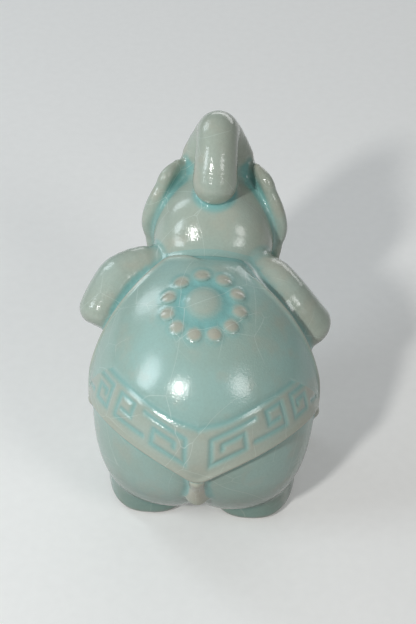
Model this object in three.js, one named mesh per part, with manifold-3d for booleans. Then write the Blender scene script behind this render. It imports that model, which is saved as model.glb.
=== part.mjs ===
// A ceramic elephant ornament made of luted clay pieces. Millimetres, +Z up, the elephant faces +Y.
import * as THREE from "three";
import { mergeVertices } from "three/addons/utils/BufferGeometryUtils.js";
import Module from "manifold-3d";

const wasm = await Module();
wasm.setup();

// Slip joint between luted pieces, and the depth that a luted piece reaches into its neighbour before it is cut.
const slipGap = 0.3;
const lutingDepth = 3;

// Belly: an egg that leans forward, with its narrow end at the neck.
const bellyRadius = 33;
const bellyNose = 43.4;
const bellyLean = THREE.MathUtils.degToRad(38);
const bellyClearance = 2.2;
const bellyWall = 4;
const haunchBulge = 6;
const haunchSpread = 0.55;
const haunchTurn = THREE.MathUtils.degToRad(52);
const haunchDrop = THREE.MathUtils.degToRad(44);
const ventDiameter = 3;

// Head: a ball on the end of the egg.
const headRadius = 18.4;
const headReach = 49;
const headRise = THREE.MathUtils.degToRad(36.5);
const headWall = 4;
const muzzleBulge = 3.2;
const muzzleDrop = THREE.MathUtils.degToRad(28);
const muzzleSpread = 0.5;

// Trunk: rises from the face between the eyes, broadens at the brow and curls back onto the crown.
const trunkRadius = 6.3;
const trunkCrestRadius = 5.3;
const trunkTipRadius = 6.8;
const trunkCurl = 8.3;
const trunkBridge = 6.4;
const trunkBrowWidth = 11.6;
const trunkBrowDepth = 7.3;
const trunkTipLength = 5.6;

// Ears: wavy flaps along the sides of the head.
const earThickness = 3.8;
const earLobes = 2;
const earWave = 0.4;

// Front legs: stubs held out at the shoulders.
const frontLegRadius = 7.3;
const frontFootRadius = 6.8;

// Hind feet: squared oval pads that slope down to the toes.
const footWidth = 28;
const footLength = 48;
const footSpread = 30.6;
const footRim = 3;
const footHeel = 21;
const footHeight = 20;
const footCrown = 6;
const footSquareness = 2.6;
const toeDrop = 8.5;

// Cloth: a square laid diagonally over the back, given as angles from the top of the belly.
const clothThickness = 1.3;
const clothBed = 0.45;
const clothHem = 0.4;
const clothHemWidth = 2.2;
const clothTail = THREE.MathUtils.degToRad(97.6);
const clothFlank = THREE.MathUtils.degToRad(90);
const clothFlankTurn = THREE.MathUtils.degToRad(83);
const clothFront = THREE.MathUtils.degToRad(43);
const clothNeck = THREE.MathUtils.degToRad(25.5);
const clothNeckBow = 0.85;
const clothBulge = THREE.MathUtils.degToRad(10.5);

// Medallion on the cloth: a boss in a ring of beads.
const bossRadius = 5.6;
const bossHeight = 1.6;
const beadCount = 11;
const beadRadius = 2.4;
const beadHeight = 1.3;
const beadRing = 9.9;
const medallionBack = 2.8;

// Small applied knobs.
const tailRadius = 2.7;
const tailStand = 0.83;
const tailTop = THREE.MathUtils.degToRad(97);
const tailEnd = THREE.MathUtils.degToRad(113);
const tasselRadius = 2;
const eyeRadius = 1.7;

const bellyCentre = new THREE.Vector3(0, 0, bellyRadius + bellyClearance);
const leanAxis = new THREE.Vector3(0, Math.cos(bellyLean), Math.sin(bellyLean));
const headCentre = new THREE.Vector3(0, Math.cos(headRise), Math.sin(headRise)).multiplyScalar(headReach);
headCentre.add(bellyCentre);

const glaze = new THREE.MeshStandardMaterial({ color: 0xa5c3bb, roughness: 0.15, metalness: 0 });
const thinGlaze = new THREE.MeshStandardMaterial({ color: 0xb9b3a4, roughness: 0.2, metalness: 0 });

// Turns a geometry into a solid for cutting.
function solid(geometry) {
  const plain = geometry.index ? geometry.toNonIndexed() : geometry.clone();
  plain.deleteAttribute("normal");
  plain.deleteAttribute("uv");
  const merged = mergeVertices(plain, 1e-4);
  const vertProperties = new Float32Array(merged.attributes.position.array);
  const triVerts = new Uint32Array(merged.index.array);
  return new wasm.Manifold(new wasm.Mesh({ numProp: 3, vertProperties, triVerts }));
}

// Turns a solid back into a geometry.
function geometryOf(shape) {
  const mesh = shape.getMesh();
  const positions = new THREE.BufferAttribute(new Float32Array(mesh.vertProperties), 3);
  const geometry = new THREE.BufferGeometry().setAttribute("position", positions);
  geometry.setIndex(new THREE.BufferAttribute(new Uint32Array(mesh.triVerts), 1));
  geometry.computeVertexNormals();
  return geometry;
}

// Keeps the largest body of a cut solid.
function largest(shape) {
  const bodies = shape.decompose();
  bodies.sort((a, b) => b.volume() - a.volume());
  return bodies[0];
}

// Height of a round bump at a direction, for a bump centred on another direction.
function bump(direction, centre, spread) {
  const angle = direction.angleTo(centre);
  return Math.exp(-(angle * angle) / (spread * spread));
}

// Direction at an angle from the top of the belly, turned from the tail towards +X.
function fromTop(angle, turn) {
  const across = Math.sin(angle);
  return new THREE.Vector3(across * Math.sin(turn), -across * Math.cos(turn), Math.cos(angle));
}

// Distance from the belly's centre to its surface, grown by an offset.
function bellyReach(direction, grow) {
  const along = direction.dot(leanAxis);
  const acrossSquared = Math.max(0, 1 - along * along);
  const length = (along > 0 ? bellyNose : bellyRadius) + grow;
  const width = bellyRadius + grow;
  const egg = 1 / Math.sqrt((along * along) / (length * length) + acrossSquared / (width * width));
  const folded = new THREE.Vector3(Math.abs(direction.x), direction.y, direction.z);
  const haunch = fromTop(Math.PI / 2 + haunchDrop, haunchTurn);
  return egg + haunchBulge * bump(folded, haunch, haunchSpread);
}

// Distance from the head's centre to its surface, grown by an offset.
function headSurface(direction, grow) {
  const muzzle = new THREE.Vector3(0, Math.cos(muzzleDrop), -Math.sin(muzzleDrop));
  return headRadius + grow + muzzleBulge * bump(direction, muzzle, muzzleSpread);
}

// A closed star-shaped solid around a centre.
function star(centre, reach, columns, rows) {
  const geometry = new THREE.SphereGeometry(1, columns, rows).rotateX(Math.PI / 2);
  const position = geometry.attributes.position;
  const direction = new THREE.Vector3();
  for (let i = 0; i < position.count; i++) {
    direction.fromBufferAttribute(position, i).normalize();
    const point = direction.clone().multiplyScalar(reach(direction)).add(centre);
    position.setXYZ(i, point.x, point.y, point.z);
  }
  return solid(geometry);
}

function belly(grow, columns = 40, rows = 26) {
  return star(bellyCentre, (direction) => bellyReach(direction, grow), columns, rows);
}

function head(grow, columns = 30, rows = 20) {
  return star(headCentre, (direction) => headSurface(direction, grow), columns, rows);
}

// A round tube between two points.
function rod(from, to, radius, sides = 20) {
  const length = from.distanceTo(to);
  const geometry = new THREE.CylinderGeometry(radius, radius, length, sides);
  const direction = to.clone().sub(from).normalize();
  const turn = new THREE.Quaternion().setFromUnitVectors(new THREE.Vector3(0, 1, 0), direction);
  geometry.applyQuaternion(turn);
  const middle = from.clone().add(to).multiplyScalar(0.5);
  geometry.translate(middle.x, middle.y, middle.z);
  return solid(geometry);
}

// A closed skin over rings of points, each ring being a list of the same length, with a flat fan on each end.
function skin(rings) {
  const sides = rings[0].length;
  const points = rings.flat();
  const faces = [];
  for (let r = 0; r + 1 < rings.length; r++) {
    for (let s = 0; s < sides; s++) {
      const here = r * sides + s;
      const next = r * sides + ((s + 1) % sides);
      faces.push(here, next, next + sides);
      faces.push(here, next + sides, here + sides);
    }
  }
  for (const [ring, flip] of [[0, true], [rings.length - 1, false]]) {
    const middle = new THREE.Vector3();
    rings[ring].forEach((point) => middle.add(point));
    points.push(middle.divideScalar(sides));
    const hub = points.length - 1;
    for (let s = 0; s < sides; s++) {
      const here = ring * sides + s;
      const next = ring * sides + ((s + 1) % sides);
      faces.push(hub, flip ? next : here, flip ? here : next);
    }
  }
  const positions = new Float32Array(points.flatMap((point) => point.toArray()));
  const geometry = new THREE.BufferGeometry().setAttribute("position", new THREE.BufferAttribute(positions, 3));
  geometry.setIndex(faces);
  const shape = solid(geometry);
  if (shape.volume() > 0) return shape;
  const reversed = faces.map((_, i) => faces[i - (i % 3) + (2 - (i % 3))]);
  geometry.setIndex(reversed);
  return solid(geometry);
}

// A limb with oval sections along a curve, and a rounded far end.
function limb(path, widths, depths, steps, sides, side, endRound) {
  const curve = new THREE.CatmullRomCurve3(path, false, "centripetal");
  const rings = [];
  const sizeAt = (list, t) => {
    const place = t * (list.length - 1);
    const low = Math.min(list.length - 2, Math.floor(place));
    return THREE.MathUtils.lerp(list[low], list[low + 1], place - low);
  };
  const addRing = (centre, tangent, width, depth) => {
    const first = side.clone().addScaledVector(tangent, -side.dot(tangent)).normalize();
    const second = tangent.clone().cross(first);
    const ring = [];
    for (let s = 0; s < sides; s++) {
      const angle = (2 * Math.PI * s) / sides;
      const point = centre.clone().addScaledVector(first, width * Math.cos(angle));
      ring.push(point.addScaledVector(second, depth * Math.sin(angle)));
    }
    rings.push(ring);
  };
  for (let i = 0; i <= steps; i++) {
    const t = i / steps;
    addRing(curve.getPoint(t), curve.getTangent(t), sizeAt(widths, t), sizeAt(depths, t));
  }
  const tangent = curve.getTangent(1);
  const end = curve.getPoint(1);
  for (const angle of [0.5, 1, 1.35]) {
    const shrink = endRound * (1 - Math.cos(angle));
    const centre = end.clone().addScaledVector(tangent, endRound * Math.sin(angle));
    addRing(centre, tangent, sizeAt(widths, 1) - shrink, sizeAt(depths, 1) - shrink);
  }
  return skin(rings);
}

function mirror(point, sign) {
  return new THREE.Vector3(point.x * sign, point.y, point.z);
}

// A point beside the belly or the head, placed in shares of its radius.
function beside(centre, radius, x, y, z) {
  return new THREE.Vector3(x, y, z).multiplyScalar(radius).add(centre);
}

// A ring around a foot pad, inset from its outline, at a height that falls towards the toes.
function padRing(sign, inset, height, fall, sides = 32) {
  const ring = [];
  for (let s = 0; s < sides; s++) {
    const angle = (2 * Math.PI * s) / sides;
    const power = 2 / footSquareness;
    const across = Math.sign(Math.cos(angle)) * Math.pow(Math.abs(Math.cos(angle)), power);
    const along = Math.sign(Math.sin(angle)) * Math.pow(Math.abs(Math.sin(angle)), power);
    const ahead = THREE.MathUtils.smoothstep(along, -0.17, 1);
    const x = (sign * footSpread) / 2 + (footWidth / 2 - inset) * across;
    const y = footLength / 2 - footHeel + (footLength / 2 - inset) * along;
    ring.push(new THREE.Vector3(x, y, height - fall * ahead));
  }
  return ring;
}

// Edge of the cloth, as an angle from the top of the belly for a turn from the tail.
function clothEdge(turn) {
  const around = Math.abs(Math.atan2(Math.sin(turn), Math.cos(turn)));
  const tailPoint = new THREE.Vector2(0, -clothTail);
  const flankPoint = new THREE.Vector2(Math.sin(clothFlankTurn), -Math.cos(clothFlankTurn));
  flankPoint.multiplyScalar(clothFlank);
  const frontPoint = new THREE.Vector2(0, clothFront);
  const rear = around <= clothFlankTurn;
  const from = rear ? tailPoint : flankPoint;
  const to = rear ? flankPoint : frontPoint;
  const ray = new THREE.Vector2(Math.sin(around), -Math.cos(around));
  const edge = to.clone().sub(from);
  const outward = new THREE.Vector2(edge.y, -edge.x).normalize();
  const reach = from.dot(outward) / ray.dot(outward);
  const along = ray.clone().multiplyScalar(reach).sub(from).dot(edge) / edge.lengthSq();
  const open = reach + (rear ? clothBulge * Math.sin(Math.PI * along) : 0);
  let limit = ray.y > 0.05 ? clothNeck / ray.y : open;
  for (let i = 0; i < 6 && ray.y > 0.05; i++) {
    const beside = limit * ray.x;
    limit = Math.min(open, (clothNeck + clothNeckBow * beside * beside) / ray.y);
  }
  return Math.min(open, limit);
}

// The cloth as a slab on the belly between two offsets, with its edge moved outwards by a length and a rolled hem.
function cloth(low, high, widen, hem = 0, columns = 56, rows = 10) {
  const rings = [];
  const ringAt = (share, grow, inset = 0) => {
    const ring = [];
    for (let c = 0; c < columns; c++) {
      const turn = (2 * Math.PI * c) / columns;
      const angle = share * (clothEdge(turn) + (widen - inset) / bellyRadius);
      const direction = fromTop(angle, turn);
      ring.push(direction.clone().multiplyScalar(bellyReach(direction, grow)).add(bellyCentre));
    }
    rings.push(ring);
  };
  for (let r = 1; r <= rows; r++) ringAt(r / rows, low);
  if (hem > 0) {
    ringAt(1, high - hem);
    ringAt(1, high + hem, clothHemWidth / 3);
  }
  for (let r = rows; r >= 1; r--) ringAt(r / rows, high, hem > 0 ? clothHemWidth : 0);
  return skin(rings);
}

const clothLow = clothBed;
const clothHigh = clothLow + clothThickness;
const bellySkin = belly(0);
const bellyCut = belly(slipGap);
const headSkin = head(0);
const headCut = head(slipGap);
const clothCut = cloth(-lutingDepth, clothHigh + slipGap, slipGap);
const clothTopCut = belly(clothHigh + slipGap, 40, 26);

const root = new THREE.Group();
root.name = "ceramic_elephant";

function piece(name, shape, material) {
  const mesh = new THREE.Mesh(geometryOf(largest(shape)), material);
  mesh.name = name;
  root.add(mesh);
}

// Belly shell with a vent under it and one at the neck.
const bellyHollow = belly(-bellyWall, 22, 14);
const floorVent = rod(new THREE.Vector3(0, 0, -1), bellyCentre, ventDiameter / 2);
const neckVent = rod(bellyCentre, headCentre, ventDiameter / 2);
const bellyShell = bellySkin.subtract(bellyHollow).subtract(floorVent).subtract(neckVent);
piece("body_shell", bellyShell, glaze);

// Head shell, cut to sit on the belly and behind the cloth's front edge.
const headHollow = head(-headWall, 18, 12).subtract(belly(slipGap + headWall, 24, 16));
const headShell = headSkin.subtract(bellyCut).subtract(clothCut).subtract(headHollow).subtract(neckVent);
piece("head_shell", headShell, glaze);

// Trunk, in the middle plane.
const crown = headCentre.z + headRadius;
const curlY = headCentre.y + headRadius * 0.196;
const curlZ = crown + slipGap + trunkTipLength;
const trunkPath = [
  beside(headCentre, headRadius, 0, 0.489, -0.435),
  beside(headCentre, headRadius, 0, 0.696, 0),
  beside(headCentre, headRadius, 0, 0.707, 0.435),
  beside(headCentre, headRadius, 0, 0.674, 0.815),
  new THREE.Vector3(0, curlY + trunkCurl, curlZ - trunkCurl * 0.48),
];
for (const angle of [0.35, 0.95, Math.PI / 2, 2.2, 2.8]) {
  const y = curlY + trunkCurl * Math.cos(angle);
  trunkPath.push(new THREE.Vector3(0, y, curlZ + trunkCurl * Math.sin(angle)));
}
trunkPath.push(new THREE.Vector3(0, curlY - trunkCurl * 1.05, curlZ - trunkTipLength * 0.65));
const trunkRise = [trunkRadius * 1.3, trunkRadius * 0.9];
const trunkEnd = [trunkCrestRadius, trunkCrestRadius * 1.06, trunkRadius, trunkTipRadius];
const trunkWidths = [
  trunkBridge * 0.86,
  trunkBridge,
  trunkBridge * 1.25,
  trunkBrowWidth,
  trunkBrowWidth * 0.93,
  ...trunkRise,
  ...trunkEnd,
];
const trunkFace = [trunkBrowDepth * 0.68, trunkBrowDepth * 0.79, trunkBrowDepth * 0.92, trunkBrowDepth];
const trunkDepths = [...trunkFace, trunkBrowDepth * 0.96, ...Array(5).fill(trunkRadius), trunkTipRadius];
const acrossX = new THREE.Vector3(1, 0, 0);
const trunkSteps = 26;
const trunkSides = 18;
const trunk = limb(trunkPath, trunkWidths, trunkDepths, trunkSteps, trunkSides, acrossX, trunkTipRadius * 0.6);
piece("trunk", trunk.subtract(headCut), glaze);

// Paths of the hand-set front legs, from the shoulder to the foot.
const frontLegPaths = {
  left: [
    beside(bellyCentre, bellyRadius, -0.4, 0.74, 0.66),
    beside(bellyCentre, bellyRadius, -0.58, 0.74, 0.79),
    beside(bellyCentre, bellyRadius, -0.793, 0.638, 0.743),
    beside(bellyCentre, bellyRadius, -0.88, 0.536, 0.656),
    beside(bellyCentre, bellyRadius, -0.948, 0.429, 0.563),
    beside(bellyCentre, bellyRadius, -0.99, 0.344, 0.489),
  ],
  right: [
    beside(bellyCentre, bellyRadius, 0.3, 0.84, 0.64),
    beside(bellyCentre, bellyRadius, 0.391, 0.779, 0.769),
    beside(bellyCentre, bellyRadius, 0.549, 0.606, 0.808),
    beside(bellyCentre, bellyRadius, 0.701, 0.461, 0.729),
    beside(bellyCentre, bellyRadius, 0.86, 0.402, 0.563),
    beside(bellyCentre, bellyRadius, 0.96, 0.406, 0.444),
  ],
};

const legCuts = {};
for (const [sideName, sign] of [["left", -1], ["right", 1]]) {
  // Ear: thin sections from its root on the head to its wavy free edge.
  const earRoots = [
    beside(headCentre, headRadius, 0.45, 0.62, 0.95),
    beside(headCentre, headRadius, 0.6, 0.62, 0.6),
    beside(headCentre, headRadius, 0.66, 0.55, 0),
    beside(headCentre, headRadius, 0.62, 0.45, -0.55),
  ];
  const earEdges = [
    beside(headCentre, headRadius, 0.74, 0.34, 1.12),
    beside(headCentre, headRadius, 0.99, 0.08, 0.82),
    beside(headCentre, headRadius, 1.2, -0.1, 0.16),
    beside(headCentre, headRadius, 1.13, -0.08, -0.5),
  ];
  const rootCurve = new THREE.CatmullRomCurve3(earRoots.map((point) => mirror(point, sign)));
  const edgeCurve = new THREE.CatmullRomCurve3(earEdges.map((point) => mirror(point, sign)));
  const earRings = [];
  const earSteps = 18;
  for (let i = 0; i <= earSteps; i++) {
    const t = i / earSteps;
    const inner = rootCurve.getPoint(t);
    const outer = edgeCurve.getPoint(t);
    const breadth = outer.clone().sub(inner);
    const lobe = Math.abs(Math.sin(Math.PI * earLobes * t));
    outer.addScaledVector(breadth.clone().normalize(), earWave * (lobe - 0.5) * 2);
    const run = edgeCurve.getTangent(t);
    const normal = breadth.clone().cross(run).normalize();
    const taper = Math.pow(Math.sin(Math.PI * THREE.MathUtils.clamp(t, 0.04, 0.96)), 0.35);
    const half = (earThickness / 2) * taper;
    const ring = [];
    const middle = inner.clone().lerp(outer, 0.5);
    const reach = inner.distanceTo(outer) / 2;
    const along = outer.clone().sub(inner).normalize();
    for (let s = 0; s < 12; s++) {
      const angle = (2 * Math.PI * s) / 12;
      const flat = Math.sign(Math.cos(angle)) * Math.pow(Math.abs(Math.cos(angle)), 0.6);
      const point = middle.clone().addScaledVector(along, reach * flat);
      ring.push(point.addScaledVector(normal, half * Math.sin(angle)));
    }
    earRings.push(ring);
  }
  const frontLegPath = frontLegPaths[sideName];
  const legMiddle = [frontLegRadius * 0.99, frontLegRadius, frontLegRadius * 0.97];
  const legSizes = [frontLegRadius * 0.82, frontLegRadius * 0.88, ...legMiddle, frontFootRadius];
  const legSide = new THREE.Vector3(0, 0, 1);
  const legRound = frontFootRadius * 0.36;
  const frontLeg = limb(frontLegPath, legSizes, legSizes, 12, 18, legSide, legRound);
  const frontLegCut = limb(
    frontLegPath,
    legSizes.map((size) => size + slipGap),
    legSizes.map((size) => size + slipGap),
    12,
    18,
    legSide,
    legRound,
  );
  legCuts[sideName] = frontLegCut;
  const shoulder = frontLeg.subtract(bellyCut).subtract(headCut);
  piece(sideName + "_front_leg", shoulder, glaze);
  const trunkCut = limb(
    trunkPath,
    trunkWidths.map((size) => size + slipGap),
    trunkDepths.map((size) => size + slipGap),
    trunkSteps,
    trunkSides,
    acrossX,
    trunkTipRadius * 0.6,
  );
  const ear = skin(earRings).subtract(headCut).subtract(frontLegCut).subtract(bellyCut).subtract(trunkCut);
  piece(sideName + "_ear", ear, glaze);

  // Hind foot: a pad with a flat sole, a rounded rim and a rounded crown.
  const padRings = [];
  for (const angle of [0, 0.55, 1.05, Math.PI / 2]) {
    padRings.push(padRing(sign, footRim * (1 - Math.sin(angle)), footRim * (1 - Math.cos(angle)), 0));
  }
  for (const angle of [0, 0.5, 1, 1.4]) {
    const level = footHeight - footCrown * (1 - Math.sin(angle));
    padRings.push(padRing(sign, footCrown * (1 - Math.cos(angle)), level, toeDrop));
  }
  piece(sideName + "_hind_foot", skin(padRings).subtract(bellyCut), glaze);

  // Eye: a pellet on the face.
  const eyeDirection = new THREE.Vector3(sign * 0.62, 0.72, 0.32).normalize();
  const eyeCentre = eyeDirection.clone().multiplyScalar(headSurface(eyeDirection, 0)).add(headCentre);
  const eye = new THREE.SphereGeometry(eyeRadius, 14, 10).translate(eyeCentre.x, eyeCentre.y, eyeCentre.z);
  piece(sideName + "_eye", solid(eye).subtract(headCut), thinGlaze);

  // Tassel: a knob under the side corner of the cloth.
  const tasselDirection = fromTop(clothFlank + (tasselRadius + slipGap) / bellyRadius, sign * clothFlankTurn);
  const tasselCentre = tasselDirection.clone().multiplyScalar(bellyReach(tasselDirection, 0.4)).add(bellyCentre);
  const tassel = new THREE.SphereGeometry(tasselRadius, 14, 10);
  tassel.scale(0.9, 1, 1.15);
  tassel.translate(tasselCentre.x, tasselCentre.y, tasselCentre.z);
  piece(sideName + "_flank_tassel", solid(tassel).subtract(bellyCut).subtract(clothCut), thinGlaze);
}

// Cloth slab, cut back from the head.
const saddle = cloth(clothLow, clothHigh, 0, clothHem).subtract(headCut);
piece("saddle_cloth", saddle.subtract(legCuts.left).subtract(legCuts.right), glaze);

// Tail: a stub down the rump with a thicker end.
const tailPath = [];
for (let i = 0; i <= 3; i++) {
  const direction = fromTop(THREE.MathUtils.lerp(tailTop, tailEnd, i / 3), 0);
  tailPath.push(direction.clone().multiplyScalar(bellyReach(direction, tailStand)).add(bellyCentre));
}
const tailSizes = [tailRadius * 0.95, tailRadius * 0.8, tailRadius, tailRadius * 1.3];
const tailShape = limb(tailPath, tailSizes, tailSizes, 10, 14, acrossX, tailRadius * 0.52);
piece("tail", tailShape.subtract(bellyCut).subtract(clothCut), glaze);

// A place on the medallion, at a radius and a turn from its middle.
function onMedallion(radius, turn, grow) {
  const flat = new THREE.Vector2(radius * Math.sin(turn), -medallionBack - radius * Math.cos(turn));
  const angle = flat.length() / bellyReach(new THREE.Vector3(0, 0, 1), 0);
  const direction = fromTop(angle, Math.atan2(flat.x, -flat.y));
  return direction.clone().multiplyScalar(bellyReach(direction, grow)).add(bellyCentre);
}

// A low dome on the cloth.
function dome(radius, height, ring, turn, columns, rows) {
  const seat = onMedallion(ring, turn, clothHigh + slipGap);
  const across = onMedallion(ring + 1, turn, clothHigh + slipGap).sub(seat);
  const along = onMedallion(ring, turn + 0.1, clothHigh + slipGap).sub(seat);
  const above = seat.clone().sub(bellyCentre);
  if (ring > 0) above.copy(along).cross(across);
  const outward = seat.clone().sub(bellyCentre);
  if (above.dot(outward) < 0) above.negate();
  const tilt = new THREE.Quaternion().setFromUnitVectors(acrossX, above.normalize());
  const ball = new THREE.SphereGeometry(1, columns, rows).scale(height, radius, radius);
  ball.applyQuaternion(tilt).translate(seat.x, seat.y, seat.z);
  return solid(ball).subtract(clothTopCut);
}

// Boss and beads of the medallion.
piece("medallion_boss", dome(bossRadius, bossHeight, 0, 0, 24, 12), thinGlaze);
for (let i = 0; i < beadCount; i++) {
  const turn = ((i + 0.5) * 2 * Math.PI) / beadCount;
  const bead = dome(beadRadius, beadHeight, beadRing, turn, 12, 8);
  piece("medallion_bead_" + String(i + 1).padStart(2, "0"), bead, thinGlaze);
}

// The origin is under the middle of the whole ornament.
const box = new THREE.Box3().setFromObject(root);
const middleX = (box.min.x + box.max.x) / 2;
const middleY = (box.min.y + box.max.y) / 2;
root.children.forEach((mesh) => mesh.geometry.translate(-middleX, -middleY, 0));

export default root;
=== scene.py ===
"""Visual model of a celadon elephant ornament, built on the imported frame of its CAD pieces.

The ornament is modelled as one glazed skin: a signed distance field that blends the belly, head, trunk,
ears, legs, feet and tail as slip and glaze do. Every piece takes the part of that skin that is nearest to
its own clay, and dives just under its neighbour past the joint, so the joints don't show. Lengths in the
field are millimetres; meshes are in metres.
"""
import logging
import math
from collections.abc import Callable
from dataclasses import dataclass, field
from enum import Enum

import bpy
import numpy as np
from mathutils import Matrix, Vector


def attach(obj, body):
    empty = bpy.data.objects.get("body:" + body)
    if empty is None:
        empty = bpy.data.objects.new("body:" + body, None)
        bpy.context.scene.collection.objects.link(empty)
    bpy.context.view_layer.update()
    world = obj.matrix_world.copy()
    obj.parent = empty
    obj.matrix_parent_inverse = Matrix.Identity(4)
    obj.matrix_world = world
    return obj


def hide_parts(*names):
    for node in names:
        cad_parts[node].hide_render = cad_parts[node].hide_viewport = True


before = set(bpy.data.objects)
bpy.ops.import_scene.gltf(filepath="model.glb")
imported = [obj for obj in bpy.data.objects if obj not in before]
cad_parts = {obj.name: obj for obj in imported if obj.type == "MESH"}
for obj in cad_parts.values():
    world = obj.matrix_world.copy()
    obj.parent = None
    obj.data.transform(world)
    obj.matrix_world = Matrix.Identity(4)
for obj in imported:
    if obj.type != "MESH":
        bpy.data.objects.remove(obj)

LOG = logging.getLogger("elephant")
MM = 0.001
# Where the field's origin, on the floor under the middle of the belly, lies in the frame.
FRAME_SHIFT = np.array((0.861, -11.581, 0.0))
# Longer than any distance in the field.
FAR = 1000.0
Array = np.ndarray
Distance = Callable[[Array], Array]
Socket = bpy.types.NodeSocket
Inputs = dict[str | int, object]


class Side(Enum):
    """The two sides of the animal, with the sign of their X."""

    LEFT = -1.0
    RIGHT = 1.0

    @property
    def label(self) -> str:
        """Name of the side as the CAD nodes spell it."""
        return self.name.lower()


class Slot(Enum):
    """Material slots of the record."""

    GLAZE = "celadon_glaze"
    THIN = "thin_glaze"


def smooth_step(low: float, high: float, value: Array) -> Array:
    """Rises smoothly from 0 at the low value to 1 at the high one, which may be the smaller."""
    share = np.clip((value - low) / (high - low), 0.0, 1.0)
    return share * share * (3.0 - 2.0 * share)


def smooth_min(first: Array, second: Array, reach: Array | float) -> Array:
    """Joins two distances with a fillet of a given reach."""
    share = np.maximum(reach - np.abs(first - second), 0.0) / reach
    return np.minimum(first, second) - share * share * reach * 0.25


def rounded_cut(first: Array, second: Array, radius: float) -> Array:
    """Intersects two distances with a rounded edge.

    Args:
        first: Distances to the first shape.
        second: Distances to the second shape.
        radius: Radius of the edge.

    Returns:
        Distances to what both shapes share.
    """
    u = first + radius
    v = second + radius
    outside = np.hypot(np.maximum(u, 0.0), np.maximum(v, 0.0))
    return np.minimum(np.maximum(u, v), 0.0) + outside - radius


def lengths(vectors: Array) -> Array:
    """Lengths of vectors, one in every row."""
    return np.sqrt((vectors * vectors).sum(axis=-1))


def bell(value: Array, width: float) -> Array:
    """A soft peak of 1 where a value is 0, which has fallen to 0.37 at the width."""
    return np.exp(-((value / width) ** 2))


def polar(points: Array, centre: Array) -> tuple[Array, Array]:
    """Length and direction of points from a centre.

    Args:
        points: Places in the field.
        centre: Where the directions start.

    Returns:
        The lengths and the unit directions.
    """
    offset = points - centre
    length = np.maximum(lengths(offset), 1e-6)
    return length, offset / length[:, None]


def from_top(angle: Array | float, turn: Array | float) -> Array:
    """Direction at an angle from the top of the belly, turned from the tail towards +X.

    Args:
        angle: Angle from the top in radians.
        turn: Turn from the tail in radians.

    Returns:
        Unit directions.
    """
    angle, turn = np.broadcast_arrays(np.asarray(angle, float), np.asarray(turn, float))
    parts = (np.sin(angle) * np.sin(turn), -np.sin(angle) * np.cos(turn), np.cos(angle))
    return np.stack(parts, axis=-1)


def to_top(direction: Array) -> tuple[Array, Array]:
    """Undoes from_top: angles from the top, and turns from the tail."""
    angle = np.arccos(np.clip(direction[:, 2], -1, 1))
    return angle, np.arctan2(direction[:, 0], -direction[:, 1])


def spline(points: Array, count: int) -> Array:
    """Samples a Catmull-Rom curve through points.

    Args:
        points: Control points.
        count: Number of samples.

    Returns:
        The sampled points.
    """
    points = np.asarray(points, float)
    ends = np.vstack((2 * points[0] - points[1], points, 2 * points[-1] - points[-2]))
    place = np.linspace(0, len(points) - 1, count)
    index = np.minimum(place.astype(int), len(points) - 2)
    t = (place - index)[:, None]
    a, b, c, d = (ends[index + k] for k in range(4))
    return 0.5 * (2 * b + (c - a) * t + (2 * a - 5 * b + 4 * c - d) * t**2 + (3 * b - a - 3 * c + d) * t**3)


def graded(sizes: tuple[float, ...], count: int) -> Array:
    """Spreads a few sizes evenly over a number of samples."""
    return np.interp(np.linspace(0, 1, count), np.linspace(0, 1, len(sizes)), sizes)


def box_around(points: Array, margin: Array | float) -> tuple[Array, Array]:
    """Lowest and highest corner of a box around points, with a margin."""
    return points.min(axis=0) - margin, points.max(axis=0) + margin


def beside(points: Array, start: Array, end: Array, most: float = 1.0) -> tuple[Array, Array]:
    """Offsets of points from a straight run.

    Args:
        points: Places.
        start: Where the run starts.
        end: Where the run ends.
        most: Largest share along the run; over 1, it goes on past its end.

    Returns:
        Vectors from the nearest places of the run, and the shares along it.
    """
    run = end - start
    offset = points - start
    share = np.clip((offset @ run) / (run @ run), 0.0, most)
    return offset - share[:, None] * run, share


def oval_distance(scaled: Array, slope: Array, least: Array | float) -> Array:
    """Distance to an oval, from lengths over its half widths and over their squares."""
    return np.where(scaled < 0.2, -0.8 * least, scaled * (scaled - 1) / (slope + 1e-9))


@dataclass
class Shape:
    """One lump of clay as a distance, only worked out within a margin of its box.

    The fillet is how far its joint with the rest of the skin is filled with slip.
    """

    name: str
    low: Array
    high: Array
    fillet: float = 1.0
    margin: float = 7.0
    far: float = 4.0

    def exact(self, points: Array) -> Array:
        """Distance at points near the shape, negative inside."""
        raise NotImplementedError

    def outside(self, points: Array) -> Array:
        """Distance from the shape's box, 0 inside it."""
        return lengths(np.maximum(np.maximum(self.low - points, points - self.high), 0.0))

    def __call__(self, points: Array) -> Array:
        """Distance at any points; far ones get a rough value.

        Args:
            points: Places in the field.

        Returns:
            Distances, negative inside.
        """
        rough = self.outside(points)
        near = rough < self.margin
        value = rough + self.far
        if near.any():
            value[near] = self.exact(points[near])
        return value


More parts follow.
